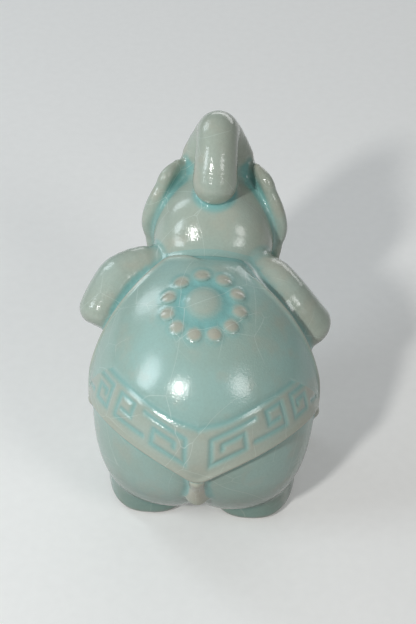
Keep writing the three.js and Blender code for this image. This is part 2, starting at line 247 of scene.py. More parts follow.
@dataclass
class Belly(Shape):
    """The egg of the belly with two haunches and a valley for the tail."""

    centre: Array = field(default_factory=lambda: np.array((0.0, 0.0, 35.2)))
    radius: float = 33.0
    nose: float = 43.4
    lean: float = math.radians(38)
    haunch: float = 6.0
    haunch_spread: float = 0.55
    haunch_turn: float = math.radians(52)
    haunch_drop: float = math.radians(44)
    valley: float = 0.9
    valley_width: float = 0.12
    valley_start: tuple[float, float] = (0.02, -0.3)
    steepness: float = 0.98

    def reach(self, direction: Array) -> Array:
        """Distance from the centre to the skin.

        Args:
            direction: Unit directions.

        Returns:
            Lengths along them.
        """
        axis = np.array((0.0, math.cos(self.lean), math.sin(self.lean)))
        along = direction @ axis
        length = np.where(along > 0, self.nose, self.radius)
        egg = 1 / np.sqrt(along**2 / length**2 + (1 - along**2) / self.radius**2)
        folded = np.column_stack((np.abs(direction[:, 0]), direction[:, 1:]))
        lobe = from_top(math.pi / 2 + self.haunch_drop, self.haunch_turn)
        angle = np.arccos(np.clip(folded @ lobe, -1, 1))
        bump = self.haunch * bell(angle, self.haunch_spread)
        across = bell(direction[:, 0], self.valley_width) * (direction[:, 1] < 0)
        drop = smooth_step(*self.valley_start, direction[:, 2])
        return egg + bump - self.valley * across * drop

    def exact(self, points: Array) -> Array:
        """Distance to the egg (see Shape)."""
        length, direction = polar(points, self.centre)
        return (length - self.reach(direction)) * self.steepness


@dataclass
class Head(Shape):
    """The ball of the head, squarer behind, with a muzzle and a carved smile."""

    centre: Array = field(default_factory=lambda: np.array((0.0, 39.389, 64.346)))
    radius: float = 18.4
    squareness: float = 2.7
    square_from: tuple[float, float] = (0.25, -0.3)
    muzzle: float = 3.2
    muzzle_drop: float = math.radians(28)
    muzzle_spread: float = 0.5
    smile: float = 0.9
    smile_drop: float = 0.43
    smile_bow: float = 0.9
    smile_width: float = 0.035
    smile_ends: tuple[float, float] = (0.46, 0.34)

    def exact(self, points: Array) -> Array:
        """Distance to the ball (see Shape)."""
        length, direction = polar(points, self.centre)
        snout = np.array((0.0, math.cos(self.muzzle_drop), -math.sin(self.muzzle_drop)))
        angle = np.arccos(np.clip(direction @ snout, -1, 1))
        level = np.abs(direction[:, :2])
        across = level / np.maximum(lengths(level), 1e-6)[:, None]
        square = (across**self.squareness).sum(axis=1) ** (-1 / self.squareness)
        behind = smooth_step(*self.square_from, direction[:, 1])
        reach = self.radius * (1 + (square - 1) * (1 - direction[:, 2] ** 2) * behind)
        reach = reach + self.muzzle * bell(angle, self.muzzle_spread)
        line = direction[:, 2] + self.smile_drop - self.smile_bow * direction[:, 0] ** 2
        breadth = smooth_step(*self.smile_ends, np.abs(direction[:, 0])) * (direction[:, 1] > 0)
        return length - (reach - self.smile * breadth * bell(line, self.smile_width))


@dataclass
class Limb(Shape):
    """A roll of clay along a path with an oval section and a flat end with a rounded rim.

    The last run goes on for some of its lengths (overrun), until the flat end cuts it (cap).
    """

    path: Array = field(default_factory=lambda: np.zeros((2, 3)))
    widths: Array = field(default_factory=lambda: np.ones(2))
    depths: Array = field(default_factory=lambda: np.ones(2))
    side: Array = field(default_factory=lambda: np.array((1.0, 0.0, 0.0)))
    rim: float = 2.4
    cap: float = 2.3
    overrun: float = 9.0
    end_share: float = 0.6

    def measure(self, points: Array) -> tuple[Array, Array]:
        """Distance and place along the path.

        Args:
            points: Places in the field.

        Returns:
            Distances, and shares along the path.
        """
        last = len(self.path) - 2
        best = np.full(len(points), FAR)
        place = np.zeros(len(points))
        for i in range(last + 1):
            most = self.overrun if i == last else 1.0
            rest, share = beside(points, self.path[i], self.path[i + 1], most)
            inner = np.minimum(share, 1.0)
            width = self.widths[i] + (self.widths[i + 1] - self.widths[i]) * inner
            depth = self.depths[i] + (self.depths[i + 1] - self.depths[i]) * inner
            aside = rest @ self.side
            square = np.maximum((rest * rest).sum(axis=1) - aside * aside, 0.0)
            scaled = np.sqrt((aside / width) ** 2 + square / depth**2)
            slope = np.sqrt((aside / width**2) ** 2 + square / depth**4)
            value = oval_distance(scaled, slope, np.minimum(width, depth))
            closer = value < best
            best = np.where(closer, value, best)
            place = np.where(closer, (i + inner) / (last + 1), place)
        tangent = self.path[-1] - self.path[-2]
        beyond = (points - self.path[-1]) @ (tangent / np.linalg.norm(tangent)) - self.cap
        return np.where(place > self.end_share, rounded_cut(best, beyond, self.rim), best), place

    def exact(self, points: Array) -> Array:
        """Distance to the roll (see Shape)."""
        return self.measure(points)[0]


@dataclass
class Ear(Shape):
    """A wavy flap pressed from overlapping strips between its root and its free edge."""

    roots: Array = field(default_factory=lambda: np.zeros((2, 3)))
    edges: Array = field(default_factory=lambda: np.zeros((2, 3)))
    radii: Array = field(default_factory=lambda: np.ones(2))
    strip_fillet: float = 0.7

    def exact(self, points: Array) -> Array:
        """Distance to the flap (see Shape)."""
        total = np.full(len(points), FAR)
        for root, edge, radius in zip(self.roots, self.edges, self.radii):
            rest, _ = beside(points, root, edge)
            total = smooth_min(total, lengths(rest) - radius, self.strip_fillet)
        return total


@dataclass
class Pad(Shape):
    """An oval foot pad with a flat sole and a rounded rim."""

    middle: Array = field(default_factory=lambda: np.zeros(2))
    half: Array = field(default_factory=lambda: np.array((14.0, 24.0)))
    squareness: float = 2.6
    taper: float = 0.14
    toe_drop: float = 8.5
    toe_start: float = -4.0
    crown: float = 6.0
    rim: float = 3.0
    height: float = 20.0

    def exact(self, points: Array) -> Array:
        """Distance to the pad (see Shape)."""
        narrow = 1 - self.taper * np.clip(points[:, 2] / self.height - 0.5, 0.0, 0.5) * 2
        flat = np.abs(points[:, :2] - self.middle)
        size = self.half * narrow[:, None]
        power = self.squareness
        scaled = np.maximum(((flat / size) ** power).sum(axis=1), 1e-9) ** (1 / power)
        slope = scaled[:, None] ** (1 - power) * flat ** (power - 1) / size**power
        wall = np.where(scaled < 0.3, -8.0, (scaled - 1) / (lengths(slope) + 1e-9))
        ahead = smooth_step(self.toe_start, self.half[1], points[:, 1] - self.middle[1])
        top = points[:, 2] - self.height + self.toe_drop * ahead
        return rounded_cut(rounded_cut(wall, top, self.crown), -points[:, 2], self.rim)


@dataclass
class Knob(Shape):
    """A small oval pellet."""

    centre: Array = field(default_factory=lambda: np.zeros(3))
    size: Array = field(default_factory=lambda: np.ones(3))

    def exact(self, points: Array) -> Array:
        """Distance to the pellet (see Shape)."""
        offset = points - self.centre
        return oval_distance(lengths(offset / self.size), lengths(offset / self.size**2), self.size.min())


@dataclass
class ClothPlan:
    """Outline, border and relief of the cloth on the belly."""

    belly: Belly
    tail: float = math.radians(97.6)
    flank: float = math.radians(90)
    flank_turn: float = math.radians(83)
    front: float = math.radians(43)
    neck: float = math.radians(23)
    neck_bow: float = math.radians(6)
    neck_half: float = 0.35
    bulge: float = math.radians(10.5)
    pinch: tuple[float, float] = (math.radians(5), math.radians(14))
    rounding: float = math.radians(5)
    soft_left: tuple[float, float] = (2.7, 3.1)
    soft_right: tuple[float, float] = (1.9, 2.7)
    rise: float = 1.75
    sink: float = 0.3
    hem: float = 0.5
    hem_place: float = 1.0
    hem_width: float = 0.85
    border: float = 14.0
    border_ends: tuple[float, float] = (55.0, 51.0)
    line_depth: float = 0.35
    line_width: float = 1.05
    line_round: float = 1.8
    groove_depth: float = 0.36
    groove_half: float = 0.8
    units: tuple[tuple[float, float, float], ...] = (
        (6.7, 16.4, 20.2), (24.0, 29.0, 19.2), (32.6, 37.6, 41.5), (43.8, 48.4, 40.6),
    )
    unit_low: float = 4.5
    unit_high: float = 11.4
    hook_low: float = 0.45
    hook_high: float = 0.62
    tail_lift: float = 0.6
    shear: float = 0.62
    flank_low: float = 0.6
    neck_low: float = 0.5
    edge_start: float = 0.5
    edge_width: float = 0.95
    neck_start: float = 1.85
    neck_width: float = 4.0
    samples: int = 1440
    batch: int = 4000

    def __post_init__(self) -> None:
        """Samples the outline once."""
        turns = np.linspace(-math.pi, math.pi, self.samples, endpoint=False)
        raw = self.raw_edge(turns)
        window = max(1, int(self.rounding / (2 * math.pi) * self.samples))
        smooth = sum(np.roll(raw, k) for k in range(-window, window + 1)) / (2 * window + 1)
        self.turns = turns
        self.edge = smooth
        self.line = from_top(smooth, turns) * self.belly.radius
        run = np.concatenate(((0.0,), np.cumsum(lengths(np.diff(self.line, axis=0)))))
        self.along = np.abs(run - run[self.samples // 2])

    def raw_edge(self, turns: Array) -> Array:
        """Angle from the top to the sharp-cornered outline.

        Args:
            turns: Turns from the tail.

        Returns:
            Angles for them.
        """
        around = np.abs(turns)
        tail_point = np.array((0.0, -self.tail))
        flank_point = self.flank * np.array((math.sin(self.flank_turn), -math.cos(self.flank_turn)))
        front_point = np.array((0.0, self.front))
        ray = np.stack((np.sin(around), -np.cos(around)), axis=1)
        result = np.zeros(len(turns))
        for rear in (True, False):
            start, end = (tail_point, flank_point) if rear else (flank_point, front_point)
            edge = end - start
            outward = np.array((edge[1], -edge[0])) / np.linalg.norm(edge)
            reach = (start @ outward) / (ray @ outward)
            share = ((ray * reach[:, None] - start) @ edge) / (edge @ edge)
            bow = self.bulge if rear else -np.where(turns < 0, *self.pinch)
            reach = reach + bow * np.sin(math.pi * np.clip(share, 0, 1))
            chosen = (around <= self.flank_turn) == rear
            result[chosen] = reach[chosen]
        ahead = np.maximum(-np.cos(around), 0.02)
        limit = self.neck / ahead
        for _ in range(6):
            bow = self.neck_bow * (limit * np.sin(around) / self.neck_half) ** 2
            limit = np.minimum((self.neck + bow) / ahead, 2.0)
        return np.minimum(result, np.where(np.cos(around) < 0, limit, 9.0))

    def edge_at(self, turns: Array) -> Array:
        """Angle from the top to the rounded outline, at turns from the tail."""
        return np.interp(turns, self.turns, self.edge, period=2 * math.pi)

    def place(self, direction: Array) -> tuple[Array, Array, Array]:
        """Where directions lie against the outline.

        Args:
            direction: Unit directions from the belly's centre.

        Returns:
            Length inside the edge, length along the edge from the tail corner, and whether the edge is a
            rear one.
        """
        angle, turn = to_top(direction)
        inside = np.zeros(len(direction))
        along = np.zeros(len(direction))
        rear = np.zeros(len(direction), bool)
        for start in range(0, len(direction), self.batch):
            part = slice(start, start + self.batch)
            dots = direction[part] @ (self.line.T / self.belly.radius)
            nearest = dots.argmax(axis=1)
            chord = np.arccos(np.clip(dots[np.arange(len(nearest)), nearest], -1, 1))
            inside[part] = chord * self.belly.radius
            along[part] = self.along[nearest]
            rear[part] = np.abs(self.turns[nearest]) < self.flank_turn
        inside *= np.where(angle < self.edge_at(turn), 1.0, -1.0)
        return inside, along, rear

    def meander(self) -> list[Array]:
        """Centre lines of the square spirals, as (along, inside) points."""
        low, high = self.unit_low, self.unit_high
        inner_top = low + self.hook_high * (high - low)
        inner_low = low + self.hook_low * (high - low)
        lines = []
        for i, (near, far, tail) in enumerate(self.units):
            third = (far - near) / 3
            if i % 2 == 0:
                turns = ((tail, high), (near, high), (near, low), (far, low), (far, inner_top))
                hook = ((near + third, inner_top), (near + third, inner_low))
            else:
                begin = (tail, low + self.tail_lift)
                turns = (begin, (far, low), (far, high), (near, high), (near, inner_low))
                hook = ((far - third, inner_low),)
            lines.append(np.array(turns + hook))
        return lines

    def grooves(self, inside: Array, along: Array, rear: Array) -> Array:
        """Share of groove at places, 1 on a centre line.

        Args:
            inside: Length inside the edge.
            along: Length along the edge.
            rear: Whether the nearest edge is a rear one.

        Returns:
            Shares of the meander's grooves.
        """
        nearest = np.full(len(inside), FAR)
        lean = self.shear * bell(along - 2.0, 15.0)
        place = np.stack((along - lean * (inside - self.unit_low), inside), axis=1)
        for line in self.meander():
            for start, end in zip(line[:-1], line[1:]):
                nearest = np.minimum(nearest, lengths(beside(place, start, end)[0]))
        return np.where(rear, bell(nearest, self.groove_half), 0.0)

    def relief(self, direction: Array) -> dict[str, Array]:
        """Height of the cloth over the belly, its glaze, and a painted shadow along the foot of the rear hem.

        Args:
            direction: Unit directions from the belly's centre.

        Returns:
            Arrays called height, pool and thin, and the one of painted shade.
        """
        inside, along, rear = self.place(direction)
        turn = np.abs(to_top(direction)[1])
        groove = self.grooves(inside, along, rear)
        ends = smooth_step(*self.border_ends, along) * rear
        inner = inside - self.line_round * bell(direction[:, 0] * self.belly.radius, 5.0)
        line = ends * bell(inner - self.border, self.line_width)
        left = smooth_step(*self.soft_left, turn)
        neck = np.where(direction[:, 0] < 0, left, smooth_step(*self.soft_right, turn))
        flank = bell(turn - 1.5, 0.32) * smooth_step(0.3, -0.1, direction[:, 2])
        hem = bell(inside - self.hem_place, self.hem_width) * (1 - neck)
        band = ends * smooth_step(1.2, 2.2, inside) * smooth_step(self.border, self.border - 1.4, inner)
        start = self.edge_start + self.neck_start * neck
        fall = smooth_step(0.0, 1.0, (inside + start) / (self.edge_width + self.neck_width * neck))
        low = (1 - self.flank_low * flank) * (1 - self.neck_low * neck * bell(inside, 4.0))
        top = (self.rise + self.hem * hem) * low + 0.08 * band
        top = top - self.line_depth * line - self.groove_depth * groove
        crease = 0.5 * bell(inside + 1.1, 0.9) + 0.6 * neck * bell(inside, 3.0)
        crease = crease + 0.7 * (turn > 1.7) * bell(inside + 0.5, 0.7)
        return {
            "height": -self.sink + (top + self.sink) * fall,
            "pool": np.clip(0.6 * line + 0.6 * groove + crease, 0, 1),
            "thin": np.clip((0.5 + 0.15 * rear) * hem + 0.48 * band * (1 - groove), 0, 1),
            # painted shadow: a dark line along the foot of the hem on the rear edges
            "deep": 0.85 * (turn < 1.6) * bell(inside + 0.3, 0.4),
        }


class Skin:
    """The whole ornament as blended distances.

    A piece dives under its neighbour by a share (DIVE) of the way past the joint, and ends a little past it.
    """

    FACE_FILLET = 2.6
    BROW_FILLET = 5.2
    TIP_FILLET = 1.2
    DIVE = 0.12
    PAST_JOINT = 1.3

    def __init__(self) -> None:
        """Places every lump of clay."""
        self.belly = Belly("body_shell", np.array((-38.0, -39.0, 0.0)), np.array((38.0, 38.0, 72.0)))
        low, high = np.array((-19.0, 20.0, 45.0)), np.array((19.0, 61.0, 83.0))
        self.head = Head("head_shell", low, high, fillet=6.0)
        self.cloth = ClothPlan(self.belly)
        self.trunk = self.make_trunk()
        makers = (self.make_leg, self.make_pad, self.make_ear, self.make_tassel, self.make_eye)
        self.parts: list[Shape] = [make(side) for side in Side for make in makers]
        self.parts.append(self.make_tail())

    def make_trunk(self) -> Limb:
        """The trunk in the middle plane.

        Returns:
            The roll of the trunk.
        """
        rise = ((9, -8), (12.8, 0), (13, 8), (12.4, 15), (12.1, 20.3), (11.5, 26.2))
        curl = ((9.6, 30.0), (6.4, 32.2), (2.4, 30.8), (-1.8, 26.7), (-4.5, 22.3))
        count = 44
        path = spline(np.array([(0.0, ahead, up) for ahead, up in rise + curl]) + self.head.centre, count)
        widths = graded((5.5, 6.4, 8.0, 11.6, 10.8, 8.2, 6.6, 6.2, 6.1, 6.3, 6.7), count)
        depths = graded((5.0, 5.8, 6.7, 7.3, 7.0, 6.4, 6.3, 6.3, 6.3, 6.5, 6.8), count)
        return Limb("trunk", *box_around(path, 13.0), fillet=self.TIP_FILLET, margin=3.0, far=8.0,
                    path=path, widths=widths, depths=depths, rim=6.7, cap=6.7)

    def make_leg(self, side: Side) -> Limb:
        """A front leg held out at the shoulder, as shares of the belly's radius.

        Args:
            side: Side of the animal.

        Returns:
            The roll of the leg.
        """
        left = ((0.4, 0.74, 0.66), (0.58, 0.74, 0.79), (0.793, 0.638, 0.743),
                (0.88, 0.536, 0.656), (0.948, 0.429, 0.563), (0.99, 0.344, 0.489))
        right = ((0.3, 0.84, 0.64), (0.391, 0.779, 0.769), (0.549, 0.606, 0.808),
                 (0.701, 0.461, 0.729), (0.86, 0.402, 0.563), (0.96, 0.406, 0.444))
        points = np.array(left if side is Side.LEFT else right) * self.belly.radius
        points = points * np.array((side.value, 1.0, 1.0)) + self.belly.centre
        count = 18
        path = spline(points, count)
        sizes = graded((6.0, 6.4, 7.2, 7.3, 7.1, 6.8), count)
        return Limb(f"{side.label}_front_leg", *box_around(path, 9.0), fillet=2.6, path=path, widths=sizes,
                    depths=sizes, side=np.array((0.0, 0.0, 1.0)), rim=4.6, cap=2.4)

    def make_pad(self, side: Side) -> Pad:
        """A hind foot.

        Args:
            side: Side of the animal.

        Returns:
            The pad of the foot.
        """
        middle = np.array((15.3 * side.value, 3.0))
        low = np.array((middle[0] - 14.0, -21.0, 0.0))
        high = np.array((middle[0] + 14.0, 27.0, 20.0))
        return Pad(f"{side.label}_hind_foot", low, high, fillet=1.1, middle=middle)

    def make_ear(self, side: Side) -> Ear:
        """An ear flap, as shares of the head's radius.

        Args:
            side: Side of the animal.

        Returns:
            The flap.
        """
        roots = np.array(((0.45, 0.62, 0.95), (0.6, 0.62, 0.6), (0.66, 0.55, 0.0), (0.62, 0.45, -0.55)))
        edges = np.array(((0.66, 0.4, 1.08), (0.89, 0.15, 0.8), (1.09, 0.0, 0.14), (1.04, 0.0, -0.5)))
        count = 30
        share = np.linspace(0.03, 0.97, count)
        mirror = np.array((side.value, 1.0, 1.0))
        root = spline(roots * self.head.radius, count) * mirror + self.head.centre
        edge = spline(edges * self.head.radius, count) * mirror + self.head.centre
        lobe = np.abs(np.sin(math.pi * np.interp(share, (0, 0.36, 0.7, 1), (0, 1, 1.8, 2.4))))
        breadth = (edge - root) / lengths(edge - root)[:, None]
        edge = edge + breadth * ((lobe - 0.6) * 1.1)[:, None]
        radii = 2.2 * np.sin(math.pi * np.clip(share, 0.06, 0.94)) ** 0.4 * (0.9 + 0.1 * lobe**0.6)
        low, high = box_around(np.concatenate((root, edge)), 2.0)
        return Ear(f"{side.label}_ear", low, high, fillet=2.4, roots=root, edges=edge, radii=radii)

    def make_tassel(self, side: Side) -> Knob:
        """A knob under the side corner of the cloth.

        Args:
            side: Side of the animal.

        Returns:
            The knob.
        """
        below, sunk = 2.3, 0.4
        angle = self.cloth.flank + below / self.belly.radius
        direction = from_top(angle, side.value * self.cloth.flank_turn)[None]
        centre = self.belly.centre + direction * (self.belly.reach(direction) - sunk)[:, None]
        size = np.array((1.8, 2.0, 2.3))
        return Knob(f"{side.label}_flank_tassel", *box_around(centre, size), centre=centre[0], size=size)

    def make_eye(self, side: Side) -> Knob:
        """A pellet on the face.

        Args:
            side: Side of the animal.

        Returns:
            The pellet.
        """
        proud = 0.35
        direction = np.array((0.62 * side.value, 0.72, 0.32))
        direction /= np.linalg.norm(direction)
        centre = self.head.centre + direction * (self.head.radius + proud)
        size = np.full(3, 1.7)
        low, high = box_around(centre[None], size)
        return Knob(f"{side.label}_eye", low, high, fillet=0.5, centre=centre, size=size)

    def make_tail(self) -> Limb:
        """The stub of the tail down the rump.

        Returns:
            The roll of the tail.
        """
        proud, count = 1.1, 12
        direction = from_top(np.radians(np.linspace(96.5, 113, 4)), np.zeros(4))
        points = self.belly.centre + direction * (self.belly.reach(direction) + proud)[:, None]
        path = spline(points, count)
        sizes = graded((2.0, 1.7, 2.1, 2.9), count)
        return Limb("tail", *box_around(path, 4.0), fillet=2.4, path=path, widths=sizes, depths=sizes * 0.85,
                    rim=1.4, cap=1.2)

    def trunk_reach(self, place: Array) -> Array:
        """Fillet of the trunk: narrow on the face, broad at the brow, tight under its tip."""
        brow = (self.BROW_FILLET - self.FACE_FILLET) * smooth_step(0.15, 0.35, place)
        return self.FACE_FILLET + brow + (self.TIP_FILLET - self.BROW_FILLET) * smooth_step(0.42, 0.75, place)

    def values(self, points: Array) -> tuple[dict[str, Array], Array]:
        """Distances to every lump and to the blended skin.

        Args:
            points: Places in the field.

        Returns:
            Distances by piece name, and the blended distance.
        """
        each = {shape.name: shape(points) for shape in (self.belly, self.head, *self.parts)}
        rough = self.trunk.outside(points)
        near = rough < self.trunk.margin
        value = rough + self.trunk.far
        fillet = np.full(len(points), self.trunk.fillet)
        if near.any():
            value[near], place = self.trunk.measure(points[near])
            fillet[near] = self.trunk_reach(place)
        each[self.trunk.name] = value
        total = smooth_min(each[self.belly.name], each[self.head.name], self.head.fillet)
        total = smooth_min(total, value, fillet)
        for shape in self.parts:
            total = smooth_min(total, each[shape.name], shape.fillet)
        return each, total

    def blended(self, points: Array) -> Array:
        """Distance to the blended skin, negative inside."""
        return self.values(points)[1]

    def others(self, points: Array) -> Array:
        """Distance to everything on the belly that the cloth meets.

        Args:
            points: Places in the field.

        Returns:
            Distances, negative inside.
        """
        total = np.full(len(points), FAR)
        for shape in (self.head, *self.parts):
            if not any(word in shape.name for word in ("foot", "tail", "tassel")):
                total = smooth_min(total, shape(points), shape.fillet)
        return total

    def dressed(self, points: Array) -> Array:
        """Distance to the skin with the plain cloth laid on it.

        Args:
            points: Places in the field.

        Returns:
            Distances, negative inside.
        """
        length, direction = polar(points, self.belly.centre)
        angle, turn = to_top(direction)
        inside = (self.cloth.edge_at(turn) - angle) * self.belly.radius * 0.8
        sunk, proud = 2.0, 0.3
        rise = -sunk + (sunk + self.cloth.rise + proud) * smooth_step(-0.6, 0.4, inside)
        return np.minimum(self.blended(points), length - self.belly.reach(direction) - rise)

    def piece(self, name: str) -> Distance:
        """Distance of one piece: the skin near its own clay, closed just under its neighbours.

        Args:
            name: Name of the piece.

        Returns:
            The piece's distance.
        """

        def distance(points: Array) -> Array:
            each, total = self.values(points)
            own = each[name]
            rest = np.full(len(points), FAR)
            for key, value in each.items():
                if key != name:
                    rest = np.minimum(rest, value)
            region = (own - rest) * 0.5
            return np.maximum(total + self.DIVE * np.maximum(region, 0.0), region - self.PAST_JOINT)

        return distance


class Mesher:
    """Turns a distance into a mesh of even quads."""

    CORNERS = np.array([(i, j, k) for i in (0, 1) for j in (0, 1) for k in (0, 1)])
    BLOCK = 8
    BLOCK_REACH = 1.15
    BATCH = 400
    DIFFERENCE = 0.12
    PASSES = 3
    LONGEST_MOVE = 0.7

    def __init__(self, step: float) -> None:
        """Sets the edge of a grid cell."""
        self.step = step

    def sample(self, distance: Distance, low: Array, high: Array) -> Array:
        """Values on the grid, exact only near the surface.

        Args:
            distance: The field.
            low: Lowest corner.
            high: Highest corner.

        Returns:
            A block of values.
        """
        size = self.BLOCK
        blocks = np.ceil((high - low) / (self.step * size)).astype(int)
        index = np.argwhere(np.ones(tuple(blocks), bool))
        middle = low + (index * size + (size - 1) / 2) * self.step
        rough = distance(middle)
        values = np.empty(tuple(blocks * size))
        values[:] = np.kron(rough.reshape(blocks), np.ones((size,) * 3))
        active = index[np.abs(rough) < self.step * size * self.BLOCK_REACH]
        inner = np.argwhere(np.ones((size,) * 3, bool))
        for start in range(0, len(active), self.BATCH):
            cells = (active[start:start + self.BATCH, None, :] * size + inner).reshape(-1, 3)
            values[tuple(cells.T)] = distance(low + cells * self.step)
        return values

    def build(self, distance: Distance, low: Array, high: Array) -> tuple[Array, Array, Array]:
        """Meshes the zero surface.

        Args:
            distance: The field.
            low: Lowest corner.
            high: Highest corner.

        Returns:
            Vertices, quads and normals.
        """
        low = low - 2 * self.step
        values = self.sample(distance, low, high + 2 * self.step)
        inside = values < 0
        count = np.zeros(np.array(inside.shape) - 1, np.int8)
        for corner in self.CORNERS:
            count += inside[tuple(slice(c, n - 1 + c) for c, n in zip(corner, inside.shape))]
        cells = np.argwhere((count > 0) & (count < 8))
        corner_values = np.stack([values[tuple((cells + c).T)] for c in self.CORNERS], axis=1)
        total = np.zeros((len(cells), 3))
        hits = np.zeros(len(cells))
        for a in range(8):
            for b in range(a + 1, 8):
                if np.abs(self.CORNERS[a] - self.CORNERS[b]).sum() != 1:
                    continue
                va, vb = corner_values[:, a], corner_values[:, b]
                cross = (va < 0) != (vb < 0)
                share = np.where(cross, va / np.where(cross, va - vb, 1.0), 0.0)
                point = self.CORNERS[a] + share[:, None] * (self.CORNERS[b] - self.CORNERS[a])
                total += point * cross[:, None]
                hits += cross
        vertices = low + (cells + total / hits[:, None]) * self.step
        quads = self.faces(inside, cells)
        vertices, normals = self.settle(distance, vertices)
        return vertices, quads, normals

    def faces(self, inside: Array, cells: Array) -> Array:
        """Quads around every grid edge that crosses the surface.

        Args:
            inside: Whether grid points are inside.
            cells: Cells that hold a vertex.

        Returns:
            Quads facing outwards.
        """
        lookup = np.full(inside.shape, -1)
        lookup[tuple(cells.T)] = np.arange(len(cells))
        quads = []
        for axis in range(3):
            b, c = (axis + 1) % 3, (axis + 2) % 3
            start = [slice(None)] * 3
            end = [slice(None)] * 3
            start[axis] = slice(0, -1)
            end[axis] = slice(1, None)
            change = inside[tuple(start)] != inside[tuple(end)]
            edges = np.argwhere(change)
            edges = edges[(edges[:, b] > 0) & (edges[:, c] > 0)]
            ring = []
            for db, dc in ((-1, -1), (0, -1), (0, 0), (-1, 0)):
                cell = edges.copy()
                cell[:, b] += db
                cell[:, c] += dc
                ring.append(lookup[tuple(cell.T)])
            quad = np.stack(ring, axis=1)
            outward = inside[tuple(edges.T)]
            quads.append(np.where(outward[:, None], quad, quad[:, ::-1]))
        return np.concatenate(quads)

    def settle(self, distance: Distance, vertices: Array) -> tuple[Array, Array]:
        """Moves vertices onto the surface.

        Args:
            distance: The field.
            vertices: Points near it.

        Returns:
            The moved points and their normals.
        """
        for _ in range(self.PASSES):
            value = distance(vertices)
            slope = gradient(distance, vertices, self.DIFFERENCE)
            move = value[:, None] * slope / ((slope * slope).sum(axis=1)[:, None] + 1e-6)
            length = lengths(move)[:, None]
            vertices = vertices - move * np.minimum(1.0, self.LONGEST_MOVE * self.step / (length + 1e-9))
        slope = gradient(distance, vertices, self.DIFFERENCE)
        return vertices, slope / (lengths(slope)[:, None] + 1e-9)


def gradient(distance: Distance, points: Array, step: float) -> Array:
    """Slope of a field by differences.

    Args:
        distance: The field.
        points: Places in it.
        step: Length of the difference.

    Returns:
        The slopes.
    """
    slope = np.empty_like(points)
    for axis in range(3):
        shift = np.zeros(3)
        shift[axis] = step
        slope[:, axis] = (distance(points + shift) - distance(points - shift)) / (2 * step)
    return slope


def bend(distance: Distance, points: Array, step: float) -> Array:
    """How much a surface bulges (positive) or hollows (negative), as one over millimetres.

    Args:
        distance: The field.
        points: Places on the surface.
        step: Length of the difference.

    Returns:
        The bends.
    """
    total = -6 * distance(points)
    for axis in range(3):
        shift = np.zeros(3)
        shift[axis] = step
        total = total + distance(points + shift) + distance(points - shift)
    return total / (step * step)


@dataclass
class PieceMesh:
    """Vertices and faces of one piece with its glaze attributes, in millimetres of the field."""

    name: str
    vertices: Array
    faces: list[list[int]]
    attributes: dict[str, Array]
    normals: Array | None = None

    def build(self, material: bpy.types.Material, slot: Slot, nodes: tuple[str, ...]) -> bpy.types.Object:
        """Makes the object and hangs it on the frame.

        Args:
            material: The finish.
            slot: The record's material slot.
            nodes: CAD nodes that the piece stands for.

        Returns:
            The new object.
        """
        mesh = bpy.data.meshes.new(self.name)
        places = (self.vertices + FRAME_SHIFT) * MM
        mesh.from_pydata(places.tolist(), [], self.faces)
        mesh.shade_smooth()
        for key, values in self.attributes.items():
            layer = mesh.attributes.new(key, "FLOAT", "POINT")
            layer.data.foreach_set("value", np.asarray(values, np.float32))
        mesh.materials.append(material)
        mesh.validate()
        if self.normals is not None:
            mesh.normals_split_custom_set_from_vertices(self.normals.tolist())
        return mount(mesh, self.name, slot, nodes)


def mount(mesh: bpy.types.Mesh, name: str, slot: Slot, nodes: tuple[str, ...]) -> bpy.types.Object:
    """Makes an object of a finished mesh and hangs it on the frame.

    Args:
        mesh: The finished mesh.
        name: Name of the piece.
        slot: Not used.
        nodes: CAD nodes that the piece stands for.

    Returns:
        The new object.
    """
    piece = bpy.data.objects.new(f"{name}_glazed", mesh)
    bpy.context.scene.collection.objects.link(piece)
    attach(piece, "root")
    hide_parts(*nodes)
    LOG.info("%s: %d vertices, %d faces", piece.name, len(mesh.vertices), len(mesh.polygons))
    return piece


def linear(red: int, green: int, blue: int) -> tuple[float, float, float, float]:
    """A display colour as scene values.

    Args:
        red: Red from 0 to 255.
        green: Green from 0 to 255.
        blue: Blue from 0 to 255.

    Returns:
        The colour for a shader socket.
    """
    shares = [v / 255 for v in (red, green, blue)]
    values = [s / 12.92 if s <= 0.04045 else ((s + 0.055) / 1.055) ** 2.4 for s in shares]
    return (*values, 1.0)


